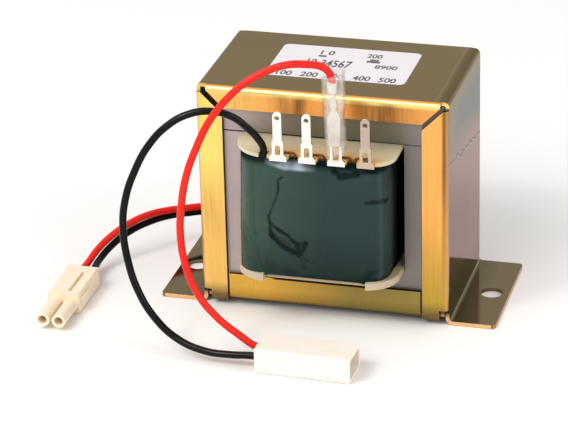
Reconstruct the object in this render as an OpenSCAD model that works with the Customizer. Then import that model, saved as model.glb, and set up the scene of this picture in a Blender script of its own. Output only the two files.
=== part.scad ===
// Speaker line transformer: an E and I core in a folded steel bracket with two mounting feet,
// a taped coil with four solder lugs, and two pairs of leads that end in two-way connectors.
// Origin midway between the two foot holes on the underside of the feet.
// +X runs along the feet, the lugs face -Y and +Z is up.

/* [Core] */
// Width of the lamination stack
core_w = 76; // [70:0.2:84]
// Depth of the lamination stack
core_stack = 45.6; // [38:0.2:52]
// Width of each outer leg
leg_w = 12.6; // [11:0.1:13]
// Width of each winding window
window_w = 12.7; // [12:0.1:14]
// Height of the winding windows
window_h = 42.1; // [38:0.1:48]
// Height of the upper and the lower yoke
yoke_h = 13.4; // [11:0.1:16]

/* [Bracket] */
// Thickness of the folded sheet
sheet_t = 1.2; // [1:0.05:1.5]
// Inside radius of the folds
fold_r = 0.4; // [0.3:0.05:0.5]
// Inside radius of the fold above each foot
foot_fold_r = 1; // [0.6:0.1:1.6]
// Room between the core and the folded sheet all round
core_play = 0.15; // [0.15:0.05:0.3]
// Width of the flanges on the side plates
side_flange_w = 8.2; // [7:0.1:9]
// Width of the flanges on the top plate
top_flange_w = 7.2; // [6:0.1:8]
// Width of the open mitre at the upper corners
mitre_gap = 1.3; // [0.6:0.1:2]
// Width of the relief notch beside each lock tab
notch_w = 2.9; // [2.6:0.1:3.4]
// Height of the relief notch over the underside of the feet
notch_top = 5.2; // [4.8:0.1:6]
// Length of the flat part of each lock tab
lock_tab_len = 7; // [5:0.5:10]

/* [Feet] */
// Length of each foot from the side plate
foot_len = 14.25; // [13:0.05:18]
// Distance of the foot holes from the side plates
hole_reach = 8.65; // [7.5:0.05:9]
// Diameter of the foot holes
hole_d = 7; // [4:0.1:7.5]
// Radius of the outer corners of the feet
foot_corner_r = 1.2; // [0.6:0.1:3]

/* [Base channel] */
// Height of the channel's underside over the underside of the feet
channel_lift = 2.45; // [2.3:0.05:3]
// Height of the channel's flanges
channel_flange_h = 8.6; // [6:0.1:10]
// Gap between each end of the channel's flanges and the side flanges
channel_gap = 0.6; // [0.3:0.1:1.5]
// Room between the channel's plate and the side plates
channel_play = 0.2; // [0.1:0.05:0.4]

/* [Bobbin] */
// Thickness of the bobbin's tube and flanges
bobbin_t = 1.1; // [0.8:0.1:1.4]
// Room between the bobbin's tube and the centre leg
bobbin_play = 0.25; // [0.15:0.05:0.4]
// Room between the bobbin and the window above, below and beside it
window_play = 0.1; // [0.05:0.05:0.2]
// How far the flanges stand out of the core in front and behind
flange_reach = 15.7; // [14.5:0.1:18]
// Radius of the flange corners
flange_corner_r = 10; // [8:0.5:11]
// Corner radius of the upper flange on the left
upper_left_r = 12; // [10:0.5:13]
// Corner radius of the upper flange on the right
upper_right_r = 7; // [6:0.5:10]
// Width of the recess in the lower flange
recess_w = 32; // [26:0.2:34]
// Depth of the recess in the lower flange
recess_depth = 2.5; // [1.5:0.1:4]
// Distance of the recess to the right of the middle
recess_shift = 0.7; // [0:0.1:1.5]
// Height of the raised rim on the lower flange's corners
rim_h = 0.9; // [0.5:0.1:2]
// Drop of the feet under the lower flange's corners
rim_drop = 0.3; // [0.2:0.1:1]
// Width of the notches beside the lugs
tap_notch_w = 3.2; // [2:0.1:3.4]
// Depth of all notches in the upper flange
notch_depth = 2.9; // [2.8:0.1:3.2]
// Width of the notches for the leads
lead_notch_w = 2.8; // [2.6:0.1:3.2]

/* [Coil] */
// Build of the primary winding at the sides
primary_side = 3.8; // [3:0.1:4]
// Build of the primary winding in front and behind
primary_end = 6.1; // [4:0.1:6.4]
// Thickness of the insulation between the windings
layer_t = 0.3; // [0.2:0.05:0.5]
// Build of the secondary winding at the sides
secondary_side = 3.8; // [3:0.1:4]
// Build of the secondary winding in front and behind
secondary_end = 6.1; // [4:0.1:6.4]
// Thickness of the tape wrap
wrap_t = 0.6; // [0.4:0.1:0.8]
// Corner radius of the taped coil
coil_corner_r = 7.5; // [7:0.5:10]

/* [Lugs] */
// Pitch of the lugs
lug_pitch = 9; // [8:0.1:9.2]
// Place of the first lug
lug_first_x = -9.5; // [-10:0.1:-8.5]
// Thickness of the lugs
lug_t = 0.8; // [0.5:0.05:1]
// Width of the connecting tab
tab_w = 2.8; // [2.4:0.1:3]
// Width of the slotted lower part
lug_w = 3.6; // [3.2:0.1:4]
// Width of the lug's foot
lug_foot_w = 5.4; // [4.6:0.1:5.6]
// Height of the lug over the bobbin's flange
lug_h = 14.4; // [12:0.1:16]
// Height of the shoulder over the bobbin's flange
shoulder_h = 5.2; // [4.8:0.1:6]
// Drop of the lug's foot below the bobbin's flange
lug_drop = 1.5; // [1.4:0.1:2.4]
// Diameter of the hole in the tab
lug_hole_d = 1.5; // [1:0.1:1.8]
// Length of the slot above the fixing tongue
lug_slot_h = 3.2; // [2:0.1:3.6]
// Width of the slot and the fixing tongue
lug_slot_w = 1.6; // [1:0.1:2]
// Diameter of the winding taps
tap_d = 0.7; // [0.4:0.05:1]

/* [Quick connect] */
// Sheet thickness of the terminal
terminal_t = 0.4; // [0.3:0.05:0.5]
// Length of the rolled box that grips the tab
grip_len = 9.6; // [8:0.1:11]
// Outer radius of the rolled edges
curl_r = 0.9; // [0.8:0.05:1]
// Length of the wire barrel
barrel_len = 5; // [3:0.1:5.4]
// Length of the insulation barrel
cuff_len = 3.5; // [2.5:0.1:3.6]
// Outer radius of the clear sleeve
sleeve_r = 3.6; // [3.5:0.1:4.2]
// Wall of the clear sleeve
sleeve_t = 0.5; // [0.3:0.05:0.6]
// Length of the clear sleeve
sleeve_len = 25; // [22:0.5:26]

/* [Label] */
// Width of the label on the top plate
label_w = 44; // [20:1:60]
// Depth of the label on the top plate
label_d = 26; // [12:1:38]
// Thickness of the label
label_t = 0.15; // [0.1:0.05:0.3]
// Corner radius of the label
label_corner_r = 2; // [1:0.5:4]

/* [Leads and connectors] */
// Diameter of the insulated leads
lead_d = 2.3; // [1.6:0.1:2.4]
// Room between a lead and the hole it passes
lead_play = 0.2; // [0.1:0.05:0.3]
// Pitch of the two ways of both connectors
way_pitch = 5.2; // [5:0.1:5.6]
// Wall between the connector's rear face and a contact
rear_wall = 3.2; // [2:0.1:4]
// Length of the socket housing
socket_len = 29.6; // [26:0.2:34]
// Width of the socket housing
socket_w = 11.6; // [11.4:0.1:13]
// Height of the socket housing
socket_h = 8; // [7.4:0.1:9]
// Wall of the socket's mouth
mouth_wall = 1; // [0.8:0.1:1.1]
// Depth of the socket's mouth
mouth_depth = 12; // [9:0.5:13]
// Length of the plug's body
plug_len = 20; // [16:0.5:24]
// Width of the plug's body
plug_w = 10.2; // [10:0.1:12]
// Height of the plug's body
plug_h = 6.8; // [6.2:0.1:8]
// Length of the plug's tubes
tube_len = 12.5; // [9:0.5:14]
// Outer diameter of the plug's tubes
tube_d = 4.4; // [4:0.1:4.6]
// Bore of the plug's tubes
tube_bore = 2.8; // [2.4:0.1:3]
// Outer diameter of the contacts
contact_d = 2.4; // [2.2:0.1:2.6]
// Bore of the contacts
contact_bore = 1.4; // [1:0.1:1.6]
// Length of the contacts
contact_len = 12; // [10:0.5:13]
// Play of the contacts in their bores
contact_play = 0.05; // [0.02:0.01:0.1]
// Edge radius of the moulded housings
mould_r = 0.6; // [0.3:0.1:0.9]

/* [Hidden] */
$fn = 48;

// Small overlap that joins shapes within one piece and clears a cut's faces
joint_lap = 0.05;
// How far the deeper cuts reach past the faces they open
cut_over = 1;

// Bracket and core levels
fold_o = fold_r + sheet_t;
half_w = core_w / 2 + core_play + sheet_t;
half_d = core_stack / 2 + core_play + sheet_t;
flat_d = half_d - fold_o;
core_z = channel_lift + sheet_t + core_play;
window_z = core_z + yoke_h;
i_core_z = window_z + window_h;
core_top = i_core_z + yoke_h;
top_z = core_top + core_play + sheet_t;
mitre = mitre_gap / sqrt(2);
lock_z = channel_lift - sheet_t;
side_z = sheet_t + foot_fold_r;
hole_x = half_w + hole_reach;
centre_leg_w = core_w - 2 * leg_w - 2 * window_w;
window_edge = centre_leg_w / 2 + window_w;

// Bobbin and coil levels and half sizes
bobbin_z = window_z + window_play;
bobbin_top = i_core_z - window_play;
coil_z = bobbin_z + bobbin_t;
coil_top = bobbin_top - bobbin_t;
tube_in = [centre_leg_w / 2 + bobbin_play, core_stack / 2 + bobbin_play];
tube_out = tube_in + [bobbin_t, bobbin_t];
flange_half = [window_edge - window_play * 2, core_stack / 2 + flange_reach];
primary_half = tube_out + [primary_side, primary_end];
layer_half = primary_half + [layer_t, layer_t];
secondary_half = layer_half + [secondary_side, secondary_end];
wrap_half = secondary_half + [wrap_t, wrap_t];
tube_corner_r = 1.5;
primary_corner_r = coil_corner_r - wrap_t - secondary_side - layer_t;

// Lugs and the terminal on the third of them
lug_y = -flange_half[1];
lug_z = bobbin_top - lug_drop;
shoulder_z = bobbin_top + shoulder_h;
lug_foot_step = 0.2;
lug_foot_taper = 1;
lug_hole_drop = 0.6;
tongue_t = 0.5;
tongue_len = 3.4;
tap_clear = 0.05;
notch_reach = lug_pitch / 2;
tap_apart = 0.7;
tap_reach = [notch_reach, notch_reach, notch_reach - tap_apart, tap_apart - notch_reach];
tap_y = tap_d / 2 - secondary_half[1];
terminal_lug = 3;
terminal_x = lug_first_x + (terminal_lug - 1) * lug_pitch;
terminal_clear = 0.05;
terminal_y = lug_y - lug_t - terminal_clear - terminal_t;
grip_lift = 0.4;
grip_z = shoulder_z + grip_lift;
terminal_neck = 1;
barrel_z = grip_z + grip_len + terminal_neck;
cuff_gap = 0.4;
cuff_z = barrel_z + barrel_len + cuff_gap;
cuff_r = lead_d / 2 + terminal_clear + terminal_t;
cuff_slot = 0.6;
barrel_step = 0.2;
barrel_r = cuff_r - barrel_step;
wire_y = terminal_y + cuff_r;
sleeve_lift = 2.5;
sleeve_z = bobbin_top + sleeve_lift;
sleeve_draw = 0.5;
sleeve_neck_r = sleeve_r - sleeve_draw;
sleeve_neck_len = 2;
sleeve_shift = 0.25;
sleeve_y = wire_y - sleeve_shift;

// Middle of the label on the top plate
label_at = [1, 1];

// Lead openings in the upper flange, on the front and on the rear
front_lead_x = [-14.5];
rear_lead_x = [-17, -12];

// Connectors: the middle of the rear face on the floor, and the turn about Z
socket_at = [-10.6, -60.5, 0];
socket_turn = -2;
plug_at = [-80, -20.3, 0];
plug_turn = -90;
slot_at = [4, 1.4];
slot_w = 1.2;
slot_d = 1.2;
slot_len = 13.8;
latch_len = 7;
latch_t = 0.5;
latch_inset = 2;
crimp_len = 3;

// Routes of the leads, from the coil to the connector
lead_sides = 8;
black_front_route = [[-14.5, -37, 58.1], [-14.5, -37, 60.5], [-15.5, -38.5, 64], [-18, -41, 68.5],
    [-22.5, -43, 72.8], [-28.5, -44.5, 74.5], [-35, -46, 73.5], [-41, -47.5, 70], [-46.5, -49, 64],
    [-51, -50.5, 55.5], [-54, -52, 46], [-54.5, -53.5, 37.5], [-53, -55, 28], [-49.5, -57, 19],
    [-44, -59, 11.5], [-36.5, -60.8, 6], [-27.5, -62.3, 3.6], [-19, -63, 3.6], [-13, -63, 4],
    [-7.6, -63.2, 4]];
red_front_route = [[8.5, -38.2, 81], [8.5, -38.2, 84.4], [7.4, -38.6, 87.4], [4.7, -39.5, 89.5],
    [0.5, -40.6, 90.3], [-5.5, -41.9, 90.1], [-11.4, -43.4, 88.1], [-16.9, -45.3, 85], [-22, -46.9, 80.4],
    [-27.2, -49, 73.6], [-31.1, -51, 65.4], [-34.3, -52.4, 56], [-35.9, -53.4, 46], [-36.1, -54.5, 37.5],
    [-34.5, -55.6, 28.4], [-30.8, -56.6, 19.8], [-24.6, -57.6, 12.9], [-17.9, -57.8, 7.9],
    [-13, -57.9, 4.8], [-10.6, -57.9, 4.1], [-7.4, -58, 4]];
black_rear_route = [[-12, 37, 58.1], [-12, 37, 59.1], [-12.19, 37.29, 60.86], [-12.74, 38.13, 62.35],
    [-13.56, 39.37, 63.35], [-14.6, 40.95, 63.75], [-17.1, 43.3, 63.2], [-20.2, 45.4, 61],
    [-24, 46.9, 57.4], [-28.4, 47.6, 51.6], [-33.6, 47.2, 43.4], [-38.6, 45, 34.2], [-41.8, 40.8, 25.2],
    [-43.6, 35.3, 17.2], [-46.2, 29.2, 12], [-50.5, 23.9, 9.7], [-55.4, 20, 9.9], [-61.3, 15.3, 10.4],
    [-67, 9.1, 10.3], [-72.4, 2, 9], [-76.2, -4, 6.6], [-78, -9, 4.7], [-78.3, -14, 3.8],
    [-77.7, -18.5, 3.4], [-77.4, -21.4, 3.4], [-77.4, -23.4, 3.4]];
red_rear_route = [[-17, 37, 58.1], [-17, 37, 59.1], [-17.21, 37.28, 60.86], [-17.81, 38.08, 62.35],
    [-18.72, 39.29, 63.38], [-19.9, 40.8, 63.85], [-22.4, 42.8, 63.7], [-25.7, 44.5, 62],
    [-29.4, 45.6, 58.5], [-33.4, 46, 52.8], [-37.6, 45.4, 45.4], [-41.4, 43.4, 37], [-44, 39.4, 28.2],
    [-45.4, 33.9, 20], [-47.4, 27.8, 14.4], [-50.8, 22.4, 12.2], [-55.8, 18.4, 12.3], [-61.6, 13.8, 12.9],
    [-67.5, 7.8, 13.1], [-73, 1.2, 11.6], [-77, -4, 9.2], [-79.6, -9, 6.7], [-81, -13.8, 4.6],
    [-82.2, -18.4, 3.5], [-82.6, -21.2, 3.4], [-82.6, -23.2, 3.4]];

steel = "#a98b4e";
iron = "#6f6a70";
moulded = "#e8dcb8";
copper = "#a8582f";
tin = "#d8dade";
nylon = "#f3efe2";

// Rectangle with round corners, given by its half sizes
module round_rect(half, r) {
    square([2 * half[0], 2 * (half[1] - r)], center = true);
    square([2 * (half[0] - r), 2 * half[1]], center = true);
    for (sx = [-1, 1], sy = [-1, 1])
        translate([sx * (half[0] - r), sy * (half[1] - r)])
            circle(r);
}

// Closed loop between two rounded rectangles
module coil_ring(outer, outer_r, inner, inner_r, z0, z1) {
    translate([0, 0, z0])
        linear_extrude(z1 - z0)
            difference() {
                round_rect(outer, outer_r);
                round_rect(inner, inner_r);
            }
}

// Quarter of a fold's section, in the quadrant where both coordinates are negative
module fold_section(r) {
    intersection() {
        difference() {
            circle(r + sheet_t);
            circle(r);
        }
        translate([-r - sheet_t, -r - sheet_t])
            square(r + sheet_t);
    }
}

// Section of the top and side plates, open below
module plate_section(half, top, r) {
    translate([-half, side_z])
        square([2 * half, top - r - side_z]);
    translate([-half + r, side_z])
        square([2 * (half - r), top - side_z]);
    for (side = [-1, 1])
        translate([side * (half - r), top - r])
            circle(r);
}

// Upright plate in the front plane, drawn as x and z
module front_plate() {
    translate([0, -half_d + sheet_t, 0])
        rotate([90, 0, 0])
            linear_extrude(sheet_t)
                children();
}

// Flange folded down from the top plate, on the front
module top_flange() {
    reach = half_w - fold_o - mitre;
    translate([0, -flat_d, top_z - fold_o])
        rotate([0, 90, 0])
            linear_extrude(2 * reach, center = true)
                fold_section(fold_r);
    front_plate()
        polygon([[-reach, top_z - fold_o], [reach, top_z - fold_o],
            [half_w - top_flange_w - mitre, top_z - top_flange_w],
            [-half_w + top_flange_w + mitre, top_z - top_flange_w]]);
}

// Flange folded in from the right side plate, on the front, with its lock tab under the channel
module side_flange() {
    inner = half_w - side_flange_w;
    outer = half_w - notch_w;
    upper = top_z - fold_o - mitre;
    translate([half_w - fold_o, -flat_d, notch_top])
        mirror([1, 0, 0])
            linear_extrude(upper - notch_top)
                fold_section(fold_r);
    front_plate()
        polygon([[half_w - fold_o, upper], [inner, top_z - side_flange_w - mitre],
            [inner, lock_z + fold_o], [outer, lock_z + fold_o], [outer, notch_top],
            [half_w - fold_o, notch_top]]);
    translate([inner, -flat_d, lock_z + fold_o])
        rotate([0, 90, 0])
            mirror([1, 0, 0])
                linear_extrude(outer - inner)
                    fold_section(fold_r);
    translate([inner, -flat_d, lock_z])
        cube([outer - inner, lock_tab_len, sheet_t]);
}

// Right foot with its fold and hole
module foot() {
    length = foot_len - foot_fold_r;
    difference() {
        intersection() {
            rotate([90, 0, 0])
                linear_extrude(2 * flat_d, center = true) {
                    translate([half_w + foot_fold_r, side_z])
                        fold_section(foot_fold_r);
                    translate([half_w + foot_fold_r, 0])
                        square([length, sheet_t]);
                }
            translate([half_w + foot_len / 2 - sheet_t, 0, 0])
                linear_extrude(side_z + joint_lap)
                    round_rect([foot_len / 2 + sheet_t, flat_d], foot_corner_r);
            translate([half_w - sheet_t, -flat_d, 0])
                cube([foot_len + sheet_t, 2 * flat_d, side_z + joint_lap]);
        }
        translate([hole_x, 0, -joint_lap])
            cylinder(h = sheet_t + 2 * joint_lap, d = hole_d);
    }
}

// One folded sheet: top, sides, feet, flanges and lock tabs
module bracket() {
    color(steel) {
        rotate([90, 0, 0])
            linear_extrude(2 * flat_d, center = true)
                difference() {
                    plate_section(half_w, top_z, fold_o);
                    translate([0, -joint_lap])
                        plate_section(half_w - sheet_t, top_z - sheet_t + joint_lap, fold_r);
                }
        for (turn = [0, 180])
            rotate([0, 0, turn]) {
                foot();
                top_flange();
                side_flange();
                mirror([1, 0, 0])
                    side_flange();
            }
    }
}

// Plate under the core with an upturned flange in front and behind
module base_channel() {
    plate_half = core_w / 2 - channel_play;
    flange_end = half_w - side_flange_w - channel_gap;
    ear_d = flat_d - core_play;
    color(steel) {
        translate([-plate_half, -ear_d, channel_lift])
            cube([2 * plate_half, 2 * ear_d, sheet_t]);
        translate([-flange_end, -flat_d, channel_lift])
            cube([2 * flange_end, 2 * flat_d, sheet_t]);
        for (turn = [0, 180])
            rotate([0, 0, turn]) {
                translate([-flange_end, -flat_d, channel_lift + fold_o])
                    rotate([0, 90, 0])
                        mirror([1, 0, 0])
                            linear_extrude(2 * flange_end)
                                fold_section(fold_r);
                front_plate()
                    translate([-flange_end, channel_lift + fold_o])
                        square([2 * flange_end, channel_flange_h - fold_o]);
            }
    }
}

// Stack of E laminations
module e_core() {
    color(iron)
        rotate([90, 0, 0])
            linear_extrude(core_stack, center = true) {
                translate([-core_w / 2, core_z])
                    square([core_w, yoke_h]);
                for (x = [-core_w / 2, core_w / 2 - leg_w])
                    translate([x, core_z])
                        square([leg_w, yoke_h + window_h]);
                translate([-centre_leg_w / 2, core_z])
                    square([centre_leg_w, yoke_h + window_h]);
            }
}

// Stack of I laminations that closes the core
module i_core() {
    color(iron)
        translate([-core_w / 2, -core_stack / 2, i_core_z])
            cube([core_w, core_stack, yoke_h]);
}

// Upper flange of the spool, rounder on the left than on the right
module upper_flange() {
    left = [upper_left_r - flange_half[0], flange_half[1] - upper_left_r];
    right = [flange_half[0] - upper_right_r, flange_half[1] - upper_right_r];
    translate([0, 0, coil_top])
        linear_extrude(bobbin_t)
            difference() {
                hull()
                    for (side = [-1, 1]) {
                        translate([left[0], side * left[1]])
                            circle(upper_left_r);
                        translate([right[0], side * right[1]])
                            circle(upper_right_r);
                    }
                round_rect(tube_in, joint_lap);
            }
}

// Notch in the edge of the upper flange, on the front for a side of -1 and on the rear for 1
module flange_notch(x, width, side) {
    depth = notch_depth + 2 * joint_lap;
    middle = side * (flange_half[1] - notch_depth / 2 + joint_lap);
    translate([x - width / 2, middle - depth / 2, coil_top - joint_lap])
        cube([width, depth, bobbin_t + 2 * joint_lap]);
}

// Spool on the centre leg: tube, upper flange with notches, recessed lower flange with raised corners
module bobbin() {
    rim_in = wrap_half + [window_play, window_play];
    color(moulded)
        difference() {
            union() {
                coil_ring(tube_out, tube_corner_r, tube_in, joint_lap, bobbin_z, bobbin_top);
                coil_ring(flange_half, flange_corner_r, tube_in, joint_lap, bobbin_z, coil_z);
                upper_flange();
                lower_corners(rim_in);
            }
            for (side = [-1, 1])
                lower_recess(side);
            for (x = front_lead_x)
                flange_notch(x, lead_notch_w, -1);
            for (x = rear_lead_x)
                flange_notch(x, lead_notch_w, 1);
            for (i = [0:2])
                flange_notch(lug_first_x + i * lug_pitch + notch_reach, tap_notch_w, -1);
        }
}

// Recess in the lower flange, on the front for a side of -1 and on the rear for 1
module lower_recess(side) {
    depth = recess_depth + cut_over;
    middle = side * (flange_half[1] + cut_over - depth / 2);
    translate([recess_shift - recess_w / 2, middle - depth / 2, bobbin_z - rim_drop - cut_over])
        cube([recess_w, depth, bobbin_t + rim_h + rim_drop + 2 * cut_over]);
}

// Feet and raised rims on the corners of the lower flange, outside the core
module lower_corners(rim_in) {
    clear_y = half_d + cut_over;
    intersection() {
        coil_ring(flange_half, flange_corner_r, rim_in, coil_corner_r, bobbin_z - rim_drop,
            coil_z + rim_h);
        for (side = [-1, 1])
            translate([-flange_half[0], side < 0 ? -flange_half[1] : clear_y, bobbin_z - rim_drop])
                cube([2 * flange_half[0], flange_half[1] - clear_y, bobbin_t + rim_drop + rim_h]);
    }
}

// Inner winding
module primary_winding() {
    color(copper)
        coil_ring(primary_half, primary_corner_r, tube_out, tube_corner_r, coil_z, coil_top);
}

// Paper between the two windings
module layer_insulation() {
    color("#d9c48f")
        coil_ring(layer_half, primary_corner_r + layer_t, primary_half, primary_corner_r, coil_z, coil_top);
}

// Outer winding
module secondary_winding() {
    color(copper)
        coil_ring(secondary_half, coil_corner_r - wrap_t, layer_half, primary_corner_r + layer_t, coil_z,
            coil_top);
}

// Tape round the coil
module outer_wrap() {
    color("#1f3a35")
        coil_ring(wrap_half, coil_corner_r, secondary_half, coil_corner_r - wrap_t, coil_z, coil_top);
}

// Outline of a lug, x across and z over the foot
module lug_outline() {
    shoulder = shoulder_h + lug_drop;
    tip = lug_h + lug_drop - tab_w / 2;
    foot_h = lug_drop - lug_foot_step;
    waist = foot_h + lug_foot_taper;
    chamfer = (lug_w - tab_w) / 2;
    polygon([[-lug_foot_w / 2, 0], [lug_foot_w / 2, 0], [lug_foot_w / 2, foot_h], [lug_w / 2, waist],
        [lug_w / 2, shoulder - chamfer], [tab_w / 2, shoulder], [tab_w / 2, tip], [-tab_w / 2, tip],
        [-tab_w / 2, shoulder], [-lug_w / 2, shoulder - chamfer], [-lug_w / 2, waist],
        [-lug_foot_w / 2, foot_h]]);
    translate([0, tip])
        circle(tab_w / 2);
}

// Solder lug with a hole, a slot and the tongue that is bent out of the slot on to the flange
module lug(i) {
    slot_z = lug_drop + tongue_t;
    color(tin)
        translate([lug_first_x + (i - 1) * lug_pitch, lug_y, lug_z]) {
            rotate([90, 0, 0])
                linear_extrude(lug_t)
                    difference() {
                        lug_outline();
                        translate([0, lug_h + lug_drop - tab_w / 2 - lug_hole_drop])
                            circle(d = lug_hole_d);
                        translate([-lug_slot_w / 2, slot_z])
                            square([lug_slot_w, lug_slot_h - lug_slot_w / 2]);
                        translate([0, slot_z + lug_slot_h - lug_slot_w / 2])
                            circle(d = lug_slot_w);
                    }
            translate([-lug_slot_w / 2, -joint_lap, lug_drop])
                cube([lug_slot_w, tongue_len + joint_lap, tongue_t]);
        }
}

// Winding tap: up through the notch beside a lug, then over the flange to the lug's tongue
module tap(i) {
    reach = abs(tap_reach[i - 1]);
    over = bobbin_top + tap_d / 2 + tap_clear;
    turn_r = tap_d;
    color(copper)
        translate([lug_first_x + (i - 1) * lug_pitch, tap_y, 0])
            rotate([0, 0, tap_reach[i - 1] < 0 ? 180 : 0]) {
                translate([reach, 0, coil_top])
                    cylinder(h = over - turn_r - coil_top, d = tap_d);
                translate([reach - turn_r, 0, over - turn_r])
                    rotate([90, 0, 0])
                        rotate_extrude(angle = 90)
                            translate([turn_r, 0])
                                circle(d = tap_d);
                translate([lug_slot_w / 2, 0, over])
                    rotate([0, 90, 0])
                        cylinder(h = reach - turn_r - lug_slot_w / 2, d = tap_d);
            }
}

// Section of the box that grips the tab: a floor with two rolled edges
module grip_section() {
    curl_x = tab_w / 2 + curl_r - terminal_t;
    translate([-curl_x, 0])
        square([2 * curl_x, terminal_t]);
    for (side = [-1, 1])
        translate([side * curl_x, curl_r])
            difference() {
                union() {
                    intersection() {
                        circle(curl_r);
                        translate([side > 0 ? 0 : -curl_r, -curl_r])
                            square([curl_r, 2 * curl_r]);
                    }
                    translate([side > 0 ? -curl_r : 0, curl_r - terminal_t])
                        square([curl_r, terminal_t]);
                }
                circle(curl_r - terminal_t);
            }
}

// Female terminal on the third lug, with its wire barrel and its insulation barrel
module quick_connect() {
    neck_w = barrel_r;
    color(tin)
        translate([terminal_x, terminal_y, 0]) {
            translate([0, 0, grip_z])
                linear_extrude(grip_len)
                    grip_section();
            translate([-neck_w, 0, grip_z])
                cube([2 * neck_w, terminal_t, cuff_z + cuff_len - grip_z]);
            translate([0, barrel_r, barrel_z])
                cylinder(h = barrel_len, r = barrel_r);
            translate([0, cuff_r, cuff_z])
                difference() {
                    cylinder(h = cuff_len, r = cuff_r);
                    translate([0, 0, -joint_lap])
                        cylinder(h = cuff_len + 2 * joint_lap, r = cuff_r - terminal_t);
                    translate([-cuff_slot / 2, 0, -joint_lap])
                        cube([cuff_slot, cuff_r + joint_lap, cuff_len + 2 * joint_lap]);
                }
        }
}

// Clear sleeve over the terminal, drawn in at the neck
module clear_sleeve() {
    neck_z = sleeve_len - sleeve_neck_len;
    inner_r = sleeve_r - sleeve_t;
    color("white", 0.35)
        translate([terminal_x, sleeve_y, sleeve_z])
            rotate_extrude()
                polygon([[inner_r, 0], [sleeve_r, 0], [sleeve_r, neck_z], [sleeve_neck_r, sleeve_len],
                    [sleeve_neck_r - sleeve_t, sleeve_len], [inner_r, neck_z]]);
}

// Paper label on the top plate
module top_label() {
    color("white")
        translate([label_at[0], label_at[1], top_z])
            linear_extrude(label_t)
                round_rect([label_w / 2, label_d / 2], label_corner_r);
}

// Direction of a route at one of its points
function heading(route, i) =
    let (d = route[min(i + 1, len(route) - 1)] - route[max(i - 1, 0)]) d / norm(d);

// Part of a vector that is square to a direction, at length 1
function square_to(v, along) = let (s = v - (v * along) * along) s / norm(s);

// Side direction at each point, carried along the route without twist
function side_directions(route, start) =
    [for (i = 0, s = square_to(start, heading(route, 0)); i < len(route);
        i = i + 1, s = i < len(route) ? square_to(s, heading(route, i)) : s) s];

// Round tube swept along a route
module swept_tube(route, d, start) {
    sides = side_directions(route, start);
    rings = len(route);
    points = [for (i = [0:rings - 1], k = [0:lead_sides - 1])
        let (a = 360 * k / lead_sides, across = cross(heading(route, i), sides[i]))
        route[i] + d / 2 * (cos(a) * sides[i] + sin(a) * across)];
    walls = [for (i = [0:rings - 2], k = [0:lead_sides - 1])
        let (n = (k + 1) % lead_sides)
        [i * lead_sides + k, (i + 1) * lead_sides + k, (i + 1) * lead_sides + n, i * lead_sides + n]];
    first = [for (k = [0:lead_sides - 1]) k];
    last = [for (k = [lead_sides - 1:-1:0]) (rings - 1) * lead_sides + k];
    polyhedron(points, concat(walls, [first, last]), convexity = 6);
}

// Lead from the front of the coil to the socket
module black_front_lead() {
    color("#1c1c1c")
        swept_tube(black_front_route, lead_d, [1, 0, 0]);
}

// Lead from the terminal on the third lug to the socket
module red_front_lead() {
    color("#d8302a")
        swept_tube(red_front_route, lead_d, [1, 0, 0]);
}

// Lower lead from the rear of the coil to the plug
module black_rear_lead() {
    color("#1c1c1c")
        swept_tube(black_rear_route, lead_d, [1, 0, 0]);
}

// Upper lead from the rear of the coil to the plug
module red_rear_lead() {
    color("#d8302a")
        swept_tube(red_rear_route, lead_d, [1, 0, 0]);
}

// Bar along +X with its section rounded, its underside on the floor
module moulded_bar(length, width, height) {
    translate([0, 0, height / 2])
        rotate([90, 0, 90])
            linear_extrude(length)
                round_rect([width / 2, height / 2], mould_r);
}

// Round bar or bore along +X
module along_x(x, y, z, length, d) {
    translate([x, y, z])
        rotate([0, 90, 0])
            cylinder(h = length, d = d);
}

// Place of a way across the connector
function way_y(way) = (way - 1.5) * way_pitch;

// Holes for the leads and the contacts from the rear of a connector
module way_holes(height, bore_end) {
    for (way = [1, 2]) {
        along_x(-cut_over, way_y(way), height / 2, rear_wall + cut_over + joint_lap, lead_d + 2 * lead_play);
        along_x(rear_wall, way_y(way), height / 2, bore_end - rear_wall, contact_d + 2 * contact_play);
    }
}

// Tubular contact in one way of a connector
module contact(height, way) {
    difference() {
        along_x(rear_wall, way_y(way), height / 2, contact_len, contact_d);
        along_x(rear_wall + crimp_len, way_y(way), height / 2, contact_len, contact_bore);
    }
}

// Block with an open mouth that takes a plug like the one on the rear leads
module socket_housing() {
    mouth_half = [socket_w / 2 - mouth_wall, socket_h / 2 - mouth_wall];
    color(nylon)
        translate(socket_at)
            rotate([0, 0, socket_turn])
                difference() {
                    moulded_bar(socket_len, socket_w, socket_h);
                    translate([socket_len - mouth_depth, 0, socket_h / 2])
                        rotate([90, 0, 90])
                            linear_extrude(mouth_depth + cut_over)
                                round_rect(mouth_half, mould_r);
                    way_holes(socket_h, socket_len - mouth_depth + joint_lap);
                }
}

// Contact of the socket
module socket_contact(way) {
    color("#c9a24a")
        translate(socket_at)
            rotate([0, 0, socket_turn])
                contact(socket_h, way);
}

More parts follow.
